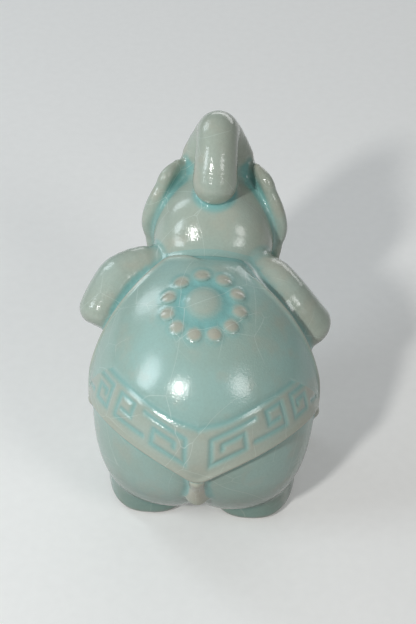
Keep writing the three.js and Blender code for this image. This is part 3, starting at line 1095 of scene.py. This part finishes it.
@dataclass(frozen=True)
class Glaze:
    """Crackled celadon glaze: pale on the lumps, blue where it pools, pinkish where it runs thin, and
    darkened by painted shade where the mesh marks it.

    Scales are features in a metre. A net of cracks is a scale, a width in metres and a hidden share.
    """

    name: str = "celadon_glaze"
    body: tuple[int, int, int] = (164, 197, 190)
    mottle: tuple[int, int, int] = (162, 188, 178)
    pooled: tuple[int, int, int] = (134, 185, 181)
    thin: tuple[int, int, int] = (190, 184, 167)
    clay: tuple[int, int, int] = (206, 196, 178)
    crackle: tuple[int, int, int] = (222, 234, 228)
    depth: tuple[float, float, float, float] = (0.38, 0.44, 0.4, 1.0)
    broad_scale: float = 48.0
    patch_scale: float = 120.0
    speck_scale: float = 1400.0
    peel_scale: float = 2300.0
    warm_share: float = 0.28
    crackle_share: float = 0.4
    roughness: float = 0.15
    coat: float = 0.2
    bump: float = 0.5
    bump_depth: float = 0.0001
    cells: tuple[tuple[float, float, float], ...] = ((38.0, 0.00013, 0.4), (75.0, 0.0001, 0.5))
    drift_scale: float = 26.0
    drift: float = 0.02

    def build(self) -> bpy.types.Material:
        """Makes the material.

        Returns:
            The finish.
        """
        material = bpy.data.materials.new(self.name)
        material.use_nodes = True
        web = NodeWeb(material.node_tree)
        place = web.node("ShaderNodeTexCoord").outputs["Object"]
        bare = web.attribute("bare")
        speck = web.noise(place, self.speck_scale, 2.0)
        rough = web.maths("MULTIPLY_ADD", speck, 0.05, self.roughness - 0.02)
        grain = web.maths("MULTIPLY_ADD", speck, 0.25, web.noise(place, self.peel_scale, 1.0))
        bump = web.node("ShaderNodeBump", {
            "Strength": self.bump, "Distance": self.bump_depth, "Height": grain,
        })
        web.fill(material.node_tree.nodes["Principled BSDF"], {
            "Base Color": web.mix(bare, self.colour(web, place, speck), linear(*self.clay)),
            "Roughness": web.maths("MULTIPLY_ADD", bare, 0.6, rough),
            "IOR": 1.5,
            "Coat Weight": self.coat,
            "Coat Roughness": 0.04,
            "Normal": bump.outputs["Normal"],
        })
        return material

    def colour(self, web: "NodeWeb", place: Socket, speck: Socket) -> Socket:
        """Colour of the glaze, with painted shade multiplied in.

        Args:
            web: The node tree.
            place: Coordinates.
            speck: Fine noise.

        Returns:
            The colour at every place.
        """
        patch = web.noise(place, self.patch_scale, 4.0)
        broad = web.ramp(web.noise(place, self.broad_scale, 3.0), 0.35, 0.65)
        colour = web.mix(broad, linear(*self.body), linear(*self.mottle))
        warm = web.maths("MULTIPLY", web.ramp(patch, 0.5, 0.72), self.warm_share)
        colour = web.mix(warm, colour, linear(*self.thin))
        uneven = web.maths("MULTIPLY_ADD", patch, 0.7, 0.65)
        for name, shade in (("thin", self.thin), ("pool", self.pooled)):
            share = web.maths("MULTIPLY", web.attribute(name), uneven)
            colour = web.mix(share, colour, linear(*shade))
        cracks = web.maths("MULTIPLY", self.lines(web, place), self.crackle_share)
        colour = web.mix(cracks, colour, linear(*self.crackle))
        shade = web.maths("MULTIPLY_ADD", speck, 0.16, 0.92)
        colour = web.vector("SCALE", {0: colour, "Scale": shade})
        # painted shade: the colour is multiplied by a dark tint as far as the mesh's painted-shade share goes
        deep = web.mix(web.attribute("deep"), (1.0, 1.0, 1.0, 1.0), self.depth)
        return web.vector("MULTIPLY", {0: colour, 1: deep})

    def lines(self, web: "NodeWeb", place: Socket) -> Socket:
        """Sparse crackle lines.

        Args:
            web: The node tree.
            place: Coordinates.

        Returns:
            Share of a line at every place.
        """
        drift = web.node("ShaderNodeTexNoise", {"Scale": self.drift_scale, "Detail": 1.0, "Vector": place})
        moved = web.vector("MULTIPLY_ADD", {0: drift.outputs["Color"], 1: (self.drift,) * 3, 2: place})
        total = 0.0
        for scale, width, hidden in self.cells:
            inputs = {"Scale": scale, "Vector": moved}
            cell = web.node("ShaderNodeTexVoronoi", inputs, feature="DISTANCE_TO_EDGE")
            line = web.ramp(cell.outputs["Distance"], width * scale, 0.0)
            shown = web.ramp(web.noise(place, 0.7 * scale, 0.0), hidden, hidden + 0.1)
            total = web.maths("MAXIMUM", total, web.maths("MULTIPLY", line, shown))
        return total


class NodeWeb:
    """Short calls for building a node tree."""

    def __init__(self, tree: bpy.types.NodeTree) -> None:
        """Keeps the tree of a material or of geometry nodes."""
        self.tree = tree

    def node(self, kind: str, inputs: Inputs | None = None, **settings: object) -> bpy.types.Node:
        """Adds a node.

        Args:
            kind: Node type.
            inputs: Sockets or constants for its inputs.
            settings: Properties of the node.

        Returns:
            The node.
        """
        made = self.tree.nodes.new(kind)
        for key, value in settings.items():
            setattr(made, key, value)
        self.fill(made, inputs or {})
        return made

    def fill(self, node: bpy.types.Node, inputs: Inputs) -> None:
        """Joins or sets inputs of a node.

        Args:
            node: The node.
            inputs: Sockets or constants for its inputs.
        """
        for key, value in inputs.items():
            if isinstance(value, Socket):
                self.tree.links.new(value, node.inputs[key])
            else:
                node.inputs[key].default_value = value

    def attribute(self, name: str) -> Socket:
        """Value of a mesh attribute."""
        return self.node("ShaderNodeAttribute", attribute_name=name).outputs["Fac"]

    def noise(self, place: Socket, scale: float, detail: float) -> Socket:
        """Cloudy noise around a half, with its scale in features a metre."""
        inputs = {"Scale": scale, "Detail": detail, "Vector": place}
        return self.node("ShaderNodeTexNoise", inputs).outputs["Fac"]

    def maths(self, operation: str, *values: object) -> Socket:
        """Result of a sum on numbers, given as sockets or constants."""
        return self.node("ShaderNodeMath", dict(enumerate(values)), operation=operation).outputs["Value"]

    def vector(self, operation: str, inputs: Inputs) -> Socket:
        """Result of a sum on vectors or colours."""
        return self.node("ShaderNodeVectorMath", inputs, operation=operation).outputs["Vector"]

    def ramp(self, value: Socket, low: float, high: float) -> Socket:
        """Maps a range to 0 to 1, smoothly.

        Args:
            value: The input.
            low: Value that gives 0.
            high: Value that gives 1.

        Returns:
            The share.
        """
        flipped = float(low > high)
        inputs = {"Value": value, "From Min": min(low, high), "From Max": max(low, high)}
        inputs |= {"To Min": flipped, "To Max": 1.0 - flipped}
        return self.node("ShaderNodeMapRange", inputs, interpolation_type="SMOOTHSTEP").outputs["Result"]

    def mix(self, share: object, first: object, second: object) -> Socket:
        """Blends two colours by the share of the second."""
        return self.node("ShaderNodeMix", {0: share, 6: first, 7: second}, data_type="RGBA").outputs[2]

    def shaped(
        self, kind: str, geometry: Socket, inputs: Inputs | None = None, **settings: object,
    ) -> Socket:
        """Sends geometry through a node."""
        return self.node(kind, {"Geometry": geometry, **(inputs or {})}, **settings).outputs["Geometry"]


@dataclass
class ClayForms:
    """Body, head, trunk, ears, legs, feet, tail and knobs: everything that is one blended skin."""

    skin: Skin
    glaze: bpy.types.Material
    fine: float = 0.8
    broad: float = 2.2
    probe: float = 2.5
    head_pool: float = 0.65
    foot_depth: float = 0.6
    shaded: tuple[float, float] = (27.0, 8.0)
    unglazed: tuple[float, float] = (0.9, 0.3)
    step: float = 0.5
    steps: dict[str, float] = field(default_factory=lambda: {
        "body_shell": 0.6, "ear": 0.4, "tail": 0.35, "eye": 0.25, "tassel": 0.3,
    })
    thinness: dict[str, float] = field(default_factory=lambda: {
        "eye": 0.7, "tassel": 0.7, "tail": 0.7, "trunk": 0.5, "ear": 0.4, "front_leg": 0.45, "head": 0.45,
    })

    @staticmethod
    def look_up(table: dict[str, float], name: str, otherwise: float) -> float:
        """Value of the first key that is a part of the name."""
        return next((value for key, value in table.items() if key in name), otherwise)

    def build(self) -> None:
        """Meshes every piece of the skin."""
        for shape in (self.skin.belly, self.skin.trunk, self.skin.head, *self.skin.parts):
            name = shape.name
            mesher = Mesher(self.look_up(self.steps, name, self.step))
            vertices, faces, normals = mesher.build(self.skin.piece(name), shape.low - 2.0, shape.high + 2.0)
            attributes = self.attributes(name, vertices, normals)
            slot = Slot.THIN if "eye" in name or "tassel" in name else Slot.GLAZE
            PieceMesh(name, vertices, faces.tolist(), attributes, normals).build(self.glaze, slot, (name,))

    def attributes(self, name: str, vertices: Array, normals: Array) -> dict[str, Array]:
        """Glaze thickness at the vertices, and painted shade that darkens them towards the floor.

        Args:
            name: Name of the piece.
            vertices: Places on the skin.
            normals: Their normals.

        Returns:
            Arrays called pool, thin and bare, and the one of painted shade.
        """
        curve = bend(self.skin.dressed, vertices, self.fine)
        broad = bend(self.skin.dressed, vertices, self.broad)
        near = 1 - self.skin.dressed(vertices + normals * self.probe) / self.probe
        pool = 0.5 * smooth_step(0.15, 0.9, -curve) + 0.6 * smooth_step(0.0, 0.3, -broad)
        pool = pool + 0.4 * smooth_step(0.1, 0.8, near)
        if "head" in name or "ear" in name:
            pool = self.head_pool * pool
        thin = np.maximum(0.55 * smooth_step(0.2, 0.7, curve), self.look_up(self.thinness, name, 0.0))
        bare = np.zeros(len(vertices))
        # painted shade: darker towards the floor, less so on the feet
        deep = smooth_step(*self.shaded, vertices[:, 2])
        if "foot" in name:
            bare = smooth_step(*self.unglazed, vertices[:, 2])
            deep = self.foot_depth * deep
        thin = np.clip(thin * (1 - pool), 0, 1)
        return {"pool": np.clip(pool, 0, 1), "thin": thin, "bare": bare, "deep": deep}


@dataclass
class SaddleCloth:
    """The pressed cloth: hem, meander border and the seat of the medallion."""

    skin: Skin
    glaze: bpy.types.Material
    columns: int = 900
    inner_rows: int = 30
    border_rows: int = 52
    border_share: float = 0.64
    hem_rows: int = 8
    hem_step: float = 0.22
    fillet: float = 1.6
    climb: float = 0.9
    tuck: float = 0.15
    passes: int = 6
    under: tuple[float, ...] = (0.985, 0.9, 0.6, 0.3)
    core_rise: float = 8.0

    def grid(self) -> Array:
        """Rings from the middle to past the edge, finest over the border.

        Returns:
            Unit directions from the belly's centre, ring by ring.
        """
        inner = np.linspace(0.01, self.border_share, self.inner_rows, endpoint=False)
        shares = np.concatenate((inner, np.linspace(self.border_share, 1.0, self.border_rows)))
        turns = np.linspace(-math.pi, math.pi, self.columns, endpoint=False)
        angle = shares[:, None] * self.skin.cloth.edge_at(turns)[None, :]
        past = np.arange(1, self.hem_rows + 1)[:, None] * self.hem_step / self.skin.belly.radius
        angle = np.concatenate((angle, angle[-1:] + past))
        return from_top(angle, np.broadcast_to(turns, angle.shape)).reshape(-1, 3)

    def lay(self, direction: Array, height: Array) -> Array:
        """Lays the cloth on the skin, with a fillet against the legs and the head.

        Args:
            direction: Unit directions from the belly's centre.
            height: Heights of the cloth over the belly.

        Returns:
            Places in the field.
        """
        belly = self.skin.belly
        star = belly.reach(direction) + height
        length = star.copy()
        turn = np.abs(to_top(direction)[1])
        fillet = self.fillet * (0.3 + 0.7 * smooth_step(1.5, 2.0, turn) + 0.6 * smooth_step(2.2, 2.6, turn))
        for _ in range(self.passes):
            points = belly.centre + direction * length[:, None]
            length = length - smooth_min(length - star, self.skin.blended(points), fillet)
        level = self.skin.blended(belly.centre + direction * star[:, None])
        length = star + np.clip(length - star, 0.0, self.climb) - self.tuck * smooth_step(0.6, -0.3, level)
        return belly.centre + direction * length[:, None]

    def build(self, medallion: "Medallion") -> None:
        """Makes the cloth's mesh, closed inside the belly.

        Args:
            medallion: The medallion whose moat and seats are pressed into the cloth.
        """
        centre = self.skin.belly.centre
        direction = self.grid()
        relief = self.skin.cloth.relief(direction)
        press, moat, warm = medallion.press(direction)
        points = self.lay(direction, relief["height"] + press)
        pole = points[:self.columns].mean(axis=0)
        outer = points[-self.columns:].reshape(1, -1, 3)
        under = (centre + (outer - centre) * np.array(self.under)[:, None, None]).reshape(-1, 3)
        core = centre + np.array((0.0, 0.0, self.core_rise))
        vertices = np.concatenate((pole[None], points, under, core[None]))
        near = 0.9 * smooth_step(3.4, 0.4, self.skin.others(points))
        glazing = {
            "pool": np.clip(relief["pool"] + moat + near, 0, 1),
            "thin": relief["thin"] * (1 - moat) + warm,
            "bare": np.zeros(len(points)),
            # painted shadow line along the foot of the rear hem, from the cloth's relief
            "deep": relief["deep"],
        }
        blank = np.zeros(len(under) + 1)
        attributes = {key: np.concatenate(((0.0,), values, blank)) for key, values in glazing.items()}
        made = PieceMesh("saddle_cloth", vertices, ring_faces(self.columns, len(vertices)), attributes)
        made.build(self.glaze, Slot.GLAZE, ("saddle_cloth",))


def ring_faces(columns: int, count: int) -> list[list[int]]:
    """Faces of a closed stack of rings between two poles.

    Args:
        columns: Vertices in a ring.
        count: Vertices in all, with the first and the last as poles.

    Returns:
        Quads and end fans.
    """
    column = np.arange(columns)
    after = (column + 1) % columns
    starts = range(1, count - 1, columns)
    quads = []
    for a, b in zip(starts, starts[1:]):
        quads.append(np.stack((a + column, b + column, b + after, a + after), axis=1))
    first = np.stack((np.zeros_like(column), starts[0] + column, starts[0] + after), axis=1)
    last = np.stack((np.full_like(column, count - 1), starts[-1] + after, starts[-1] + column), axis=1)
    return np.concatenate(quads).tolist() + np.concatenate((first, last)).tolist()


@dataclass
class Medallion:
    """The boss in its ring of beads."""

    skin: Skin
    glaze: bpy.types.Material
    back: float = 2.8
    boss: float = 5.6
    aside: float = -0.8
    boss_height: float = 1.0
    beads: int = 11
    bead: float = 2.5
    bead_height: float = 0.65
    root: float = 1.2
    moat_depth: float = 0.25
    moat_width: float = 1.7
    seat_depth: float = 0.22
    seat_fillet: float = 0.8
    boss_warmth: float = 0.35
    bead_warmth: float = 0.75
    ring: tuple[float, float] = (10.3, 9.4)
    ring_back: float = 0.45
    ring_turn: float = 0.084

    def flat(self, direction: Array) -> Array:
        """Directions as a flat map about the boss, in millimetres.

        Args:
            direction: Unit directions from the belly's centre.

        Returns:
            Points of the map.
        """
        angle, turn = to_top(direction)
        length = angle * self.top
        return np.stack((length * np.sin(turn) - self.aside, -length * np.cos(turn) + self.back), axis=1)

    @property
    def top(self) -> float:
        """Reach of the belly at its top."""
        return float(self.skin.belly.reach(np.array(((0.0, 0.0, 1.0),)))[0])

    def seats(self) -> Array:
        """Centres of the beads on the flat map.

        Returns:
            Points of the map.
        """
        turns = (np.arange(self.beads) + 0.5) * 2 * math.pi / self.beads + self.ring_turn
        across, ahead = self.ring
        return np.stack((across * np.sin(turns), -ahead * np.cos(turns) - self.ring_back), axis=1)

    def press(self, direction: Array) -> tuple[Array, Array, Array]:
        """Height and glaze that the medallion gives the cloth, which is soft against every sprig.

        Args:
            direction: Unit directions from the belly's centre.

        Returns:
            Heights, shares of pooled glaze and shares of thin glaze.
        """
        flat = self.flat(direction)
        moat = bell(lengths(flat) - self.boss - 1.0, self.moat_width)
        domes = [(lengths(flat), self.boss, self.boss_height, self.boss_warmth)]
        for seat in self.seats():
            domes.append((lengths(flat - seat), self.bead, self.bead_height, self.bead_warmth))
        height = -self.moat_depth * moat
        halo = np.zeros(len(flat))
        thin = np.zeros(len(flat))
        for gap, size, tall, warmth in domes:
            share = np.minimum(gap / size, 1.6)
            height = -smooth_min(-height, -tall * (1 - share**2), self.seat_fillet)
            height = height - self.seat_depth * smooth_step(0.95, 0.5, share)
            halo = np.maximum(halo, bell(gap - size - 0.3, 0.9))
            thin = np.maximum(thin, warmth * smooth_step(1.1, 0.45, share))
        return height, np.clip(0.85 * moat + 0.45 * halo, 0, 1) * (1 - thin), thin

    def place(self, flat: Array, rise: float) -> Array:
        """Points of the flat map put on the cloth.

        Args:
            flat: Points of the map.
            rise: Height over the belly.

        Returns:
            Places in the field.
        """
        shifted = flat + np.array((self.aside, -self.back))
        angle = lengths(shifted) / self.top
        direction = from_top(angle, np.arctan2(shifted[:, 0], -shifted[:, 1]))
        return self.skin.belly.centre + direction * (self.skin.belly.reach(direction) + rise)[:, None]

    def build(self) -> None:
        """Makes the boss and the beads."""
        self.build_boss()
        self.build_beads()

    def build_boss(self) -> None:
        """Makes the boss as a low dome."""
        columns, rows = 96, 28
        share = np.linspace(0.03, 1.0, rows)
        turns = np.linspace(0, 2 * math.pi, columns, endpoint=False)
        ring = self.boss * np.stack((np.sin(turns), -np.cos(turns)), axis=1)
        middle = np.zeros((1, 2))
        cloth = self.skin.cloth.rise
        rings = [self.place(ring * s, cloth + self.boss_height * (1 - s * s)) for s in share]
        rings.append(self.place(ring, cloth - self.root))
        high = self.place(middle, cloth + self.boss_height)
        vertices = np.concatenate((high, *rings, self.place(middle, cloth - self.root)))
        edge = np.repeat(smooth_step(0.5, 1.0, share), columns)
        warm = self.boss_warmth * np.repeat(smooth_step(1.1, 0.45, share), columns)
        under = np.ones(columns + 1)
        attributes = {
            "pool": 0.5 * np.concatenate(((0.0,), edge, under)),
            "thin": np.concatenate(((self.boss_warmth,), warm, 0.0 * under)),
            "bare": np.zeros(len(vertices)),
        }
        made = PieceMesh("medallion_boss", vertices, ring_faces(columns, len(vertices)), attributes)
        made.build(self.glaze, Slot.GLAZE, ("medallion_boss",))

    def build_beads(self) -> None:
        """Makes the beads with geometry nodes: one bead on every seat, turned to stand on the cloth."""
        rise = self.skin.cloth.rise
        points = (self.place(self.seats(), rise) + FRAME_SHIFT) * MM
        above = (self.place(self.seats(), rise + 1.0) + FRAME_SHIFT) * MM - points
        base = bpy.data.meshes.new("bead_seats")
        base.from_pydata(points.tolist(), [], [])
        layer = base.attributes.new("above", "FLOAT_VECTOR", "POINT")
        layer.data.foreach_set("vector", above.astype(np.float32).ravel())
        holder = bpy.data.objects.new("bead_seats", base)
        bpy.context.scene.collection.objects.link(holder)
        tree, sockets = BeadRing(self.glaze, self.bead_warmth).build()
        modifier = holder.modifiers.new("beads", "NODES")
        modifier.node_group = tree
        modifier[sockets["Bead Radius"]] = self.bead * MM
        modifier[sockets["Flattening"]] = self.bead_height / self.bead
        graph = bpy.context.evaluated_depsgraph_get()
        mesh = bpy.data.meshes.new_from_object(holder.evaluated_get(graph))
        mesh.name = "medallion_beads"
        bpy.data.objects.remove(holder)
        nodes = tuple(f"medallion_bead_{i:02d}" for i in range(1, self.beads + 1))
        mount(mesh, "medallion_beads", Slot.THIN, nodes)


@dataclass
class BeadRing:
    """Geometry node tree that sets a bead on every point of a ring."""

    material: bpy.types.Material
    warmth: float
    halo: float = 0.45
    segments: int = 40
    rings: int = 24

    def build(self) -> tuple[bpy.types.NodeTree, dict[str, str]]:
        """Makes the tree.

        Returns:
            The tree, and the identifiers of its named inputs.
        """
        tree = bpy.data.node_groups.new("bead_ring", "GeometryNodeTree")
        face = tree.interface
        face.new_socket("Geometry", in_out="INPUT", socket_type="NodeSocketGeometry")
        names = {}
        for name in ("Bead Radius", "Flattening"):
            names[name] = face.new_socket(name, in_out="INPUT", socket_type="NodeSocketFloat").identifier
        face.new_socket("Geometry", in_out="OUTPUT", socket_type="NodeSocketGeometry")
        web = NodeWeb(tree)
        source = web.node("NodeGroupInput").outputs
        above = web.node("GeometryNodeInputNamedAttribute", {"Name": "above"}, data_type="FLOAT_VECTOR")
        turn = web.node("FunctionNodeAlignRotationToVector", {"Vector": above.outputs["Attribute"]}, axis="Z")
        spread = web.node("GeometryNodeInstanceOnPoints", {
            "Points": source["Geometry"],
            "Instance": self.bead(web, source["Bead Radius"], source["Flattening"]),
            "Rotation": turn.outputs["Rotation"],
        })
        shape = web.shaped("GeometryNodeRealizeInstances", spread.outputs["Instances"])
        shape = web.shaped("GeometryNodeSetShadeSmooth", shape)
        shape = web.shaped("GeometryNodeSetMaterial", shape, {"Material": self.material})
        web.node("NodeGroupOutput", {"Geometry": shape})
        return tree, names

    def bead(self, web: NodeWeb, radius: Socket, flattening: Socket) -> Socket:
        """One bead: a ball pressed to low domes, with its glaze thin on top and pooled at its foot.

        Args:
            web: The node tree.
            radius: Radius of the bead.
            flattening: Height over the radius.

        Returns:
            The bead.
        """
        ball = web.node("GeometryNodeMeshUVSphere", {
            "Segments": self.segments, "Rings": self.rings, "Radius": radius,
        })
        spot = web.node("GeometryNodeInputPosition").outputs["Position"]
        axes = web.node("ShaderNodeSeparateXYZ", {"Vector": spot}).outputs
        level = web.maths("DIVIDE", axes["Z"], radius)
        square = web.maths("MULTIPLY_ADD", web.maths("MULTIPLY", level, level), -1.0, 1.0)
        share = web.maths("SQRT", web.maths("MAXIMUM", square, 0.0))
        shape = ball.outputs["Mesh"]
        for name, low, high, full in (("thin", 1.1, 0.45, self.warmth), ("pool", 0.6, 1.1, self.halo)):
            value = web.maths("MULTIPLY", web.ramp(share, low, high), full)
            shape = web.shaped("GeometryNodeStoreNamedAttribute", shape, {"Name": name, "Value": value},
                               data_type="FLOAT", domain="POINT")
        height = web.maths("MULTIPLY", axes["Z"], web.maths("ABSOLUTE", level))
        dome = web.node("ShaderNodeCombineXYZ", {"X": axes["X"], "Y": axes["Y"], "Z": height})
        shape = web.shaped("GeometryNodeSetPosition", shape, {"Position": dome.outputs["Vector"]})
        squash = web.node("ShaderNodeCombineXYZ", {"X": 1.0, "Y": 1.0, "Z": flattening})
        return web.shaped("GeometryNodeTransform", shape, {"Scale": squash.outputs["Vector"]})


@dataclass(frozen=True)
class Lamp:
    """One area light, placed by its direction from the ornament."""

    name: str
    direction: tuple[float, float, float]
    distance: float
    size: tuple[float, float]
    power: float
    colour: tuple[float, float, float]

    def build(self, target: Vector) -> None:
        """Makes the light.

        Args:
            target: Place that it points at.
        """
        data = bpy.data.lights.new(self.name, "AREA")
        data.shape = "ELLIPSE"
        data.size, data.size_y = self.size
        data.energy = self.power
        data.color = self.colour
        lamp = bpy.data.objects.new(self.name, data)
        aim = Vector(self.direction).normalized()
        lamp.location = target + aim * self.distance
        lamp.rotation_euler = aim.to_track_quat("Z", "Y").to_euler()
        bpy.context.scene.collection.objects.link(lamp)


@dataclass
class Studio:
    """Camera, floor and lights."""

    azimuth: float = math.radians(2.409)
    elevation: float = math.radians(41.851)
    roll: float = math.radians(1.562)
    distance: float = 0.42435
    lens: float = 80.77
    target: tuple[float, float, float] = (0.00052, 0.00657, 0.05012)
    lit: tuple[float, float, float] = (0.0, 0.0, 0.04)
    sky: tuple[float, float, float, float] = (0.9, 0.95, 1.0, 1.0)
    sky_strength: float = 0.11
    floor_half: float = 3.0
    floor_pale: tuple[int, int, int] = (226, 226, 224)
    floor_grain: tuple[int, int, int] = (232, 232, 230)
    floor_bounce: tuple[int, int, int] = (132, 122, 110)
    floor_glow: float = 0.13
    lamps: tuple[Lamp, ...] = (
        Lamp("key", (-0.37, -0.675, 0.638), 0.7, (0.06, 0.08), 2.25, (1.0, 0.99, 0.97)),
        Lamp("softbox", (0.578, -0.53, 0.62), 0.7, (0.22, 0.25), 0.85, (1.0, 0.99, 0.98)),
        Lamp("fill", (0.2, 0.9, 0.24), 1.2, (1.4, 0.5), 4.0, (1.0, 1.0, 1.0)),
        Lamp("far_window", (-0.71, 0.476, 0.52), 0.9, (0.25, 0.5), 1.3, (0.84, 0.94, 1.0)),
        Lamp("window", (-0.8, -0.32, 0.505), 0.8, (0.26, 0.36), 1.65, (0.84, 0.94, 1.0)),
    )

    def build(self) -> None:
        """Sets the scene."""
        self.build_camera()
        self.build_floor()
        for lamp in self.lamps:
            lamp.build(Vector(self.lit))
        world = bpy.data.worlds.new("studio")
        world.use_nodes = True
        background = world.node_tree.nodes["Background"]
        background.inputs["Color"].default_value = self.sky
        background.inputs["Strength"].default_value = self.sky_strength
        scene = bpy.context.scene
        scene.world = world
        scene.view_settings.view_transform = "Standard"

    def build_camera(self) -> None:
        """Places the camera at the photo's angle."""
        a, e, r = self.azimuth, self.elevation, self.roll
        back = Vector((math.sin(a) * math.cos(e), -math.cos(a) * math.cos(e), math.sin(e)))
        right = Vector((math.cos(a), math.sin(a), 0.0))
        up = back.cross(right)
        across = right * math.cos(r) + up * math.sin(r)
        upward = up * math.cos(r) - right * math.sin(r)
        data = bpy.data.cameras.new("photo_camera")
        data.lens = self.lens
        data.sensor_width = 36.0
        data.clip_start = 0.01
        camera = bpy.data.objects.new("photo_camera", data)
        turn = Matrix((across, upward, back)).transposed().to_4x4()
        camera.matrix_world = Matrix.Translation(Vector(self.target) + back * self.distance) @ turn
        bpy.context.scene.collection.objects.link(camera)
        bpy.context.scene.camera = camera

    def build_floor(self) -> None:
        """Lays the floor: pale where it is seen, and darker in the light that it throws back."""
        half = self.floor_half
        mesh = bpy.data.meshes.new("floor")
        square = [(-half, -half, 0), (half, -half, 0), (half, half, 0), (-half, half, 0)]
        mesh.from_pydata(square, [], [(0, 1, 2, 3)])
        material = bpy.data.materials.new("floor_paper")
        material.use_nodes = True
        web = NodeWeb(material.node_tree)
        grain = web.noise(web.node("ShaderNodeTexCoord").outputs["Object"], 300.0, 2.0)
        pale = web.mix(grain, linear(*self.floor_pale), linear(*self.floor_grain))
        rays = web.node("ShaderNodeLightPath").outputs
        seen = web.maths("MAXIMUM", rays["Is Glossy Ray"], rays["Is Transmission Ray"])
        seen = web.maths("MAXIMUM", rays["Is Camera Ray"], seen)
        web.fill(material.node_tree.nodes["Principled BSDF"], {
            "Base Color": web.mix(seen, linear(*self.floor_bounce), pale),
            "Roughness": 0.75,
            "Emission Color": (1.0, 1.0, 0.99, 1.0),
            "Emission Strength": web.maths("MULTIPLY", seen, self.floor_glow),
        })
        mesh.materials.append(material)
        floor = bpy.data.objects.new("floor", mesh)
        bpy.context.scene.collection.objects.link(floor)


def main() -> None:
    """Builds the ornament on its frame."""
    logging.basicConfig(level=logging.INFO, format="%(message)s")
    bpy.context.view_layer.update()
    glaze = Glaze().build()
    skin = Skin()
    ClayForms(skin, glaze).build()
    medallion = Medallion(skin, glaze)
    SaddleCloth(skin, glaze).build(medallion)
    medallion.build()
    Studio().build()


if __name__ == "__main__":
    main()
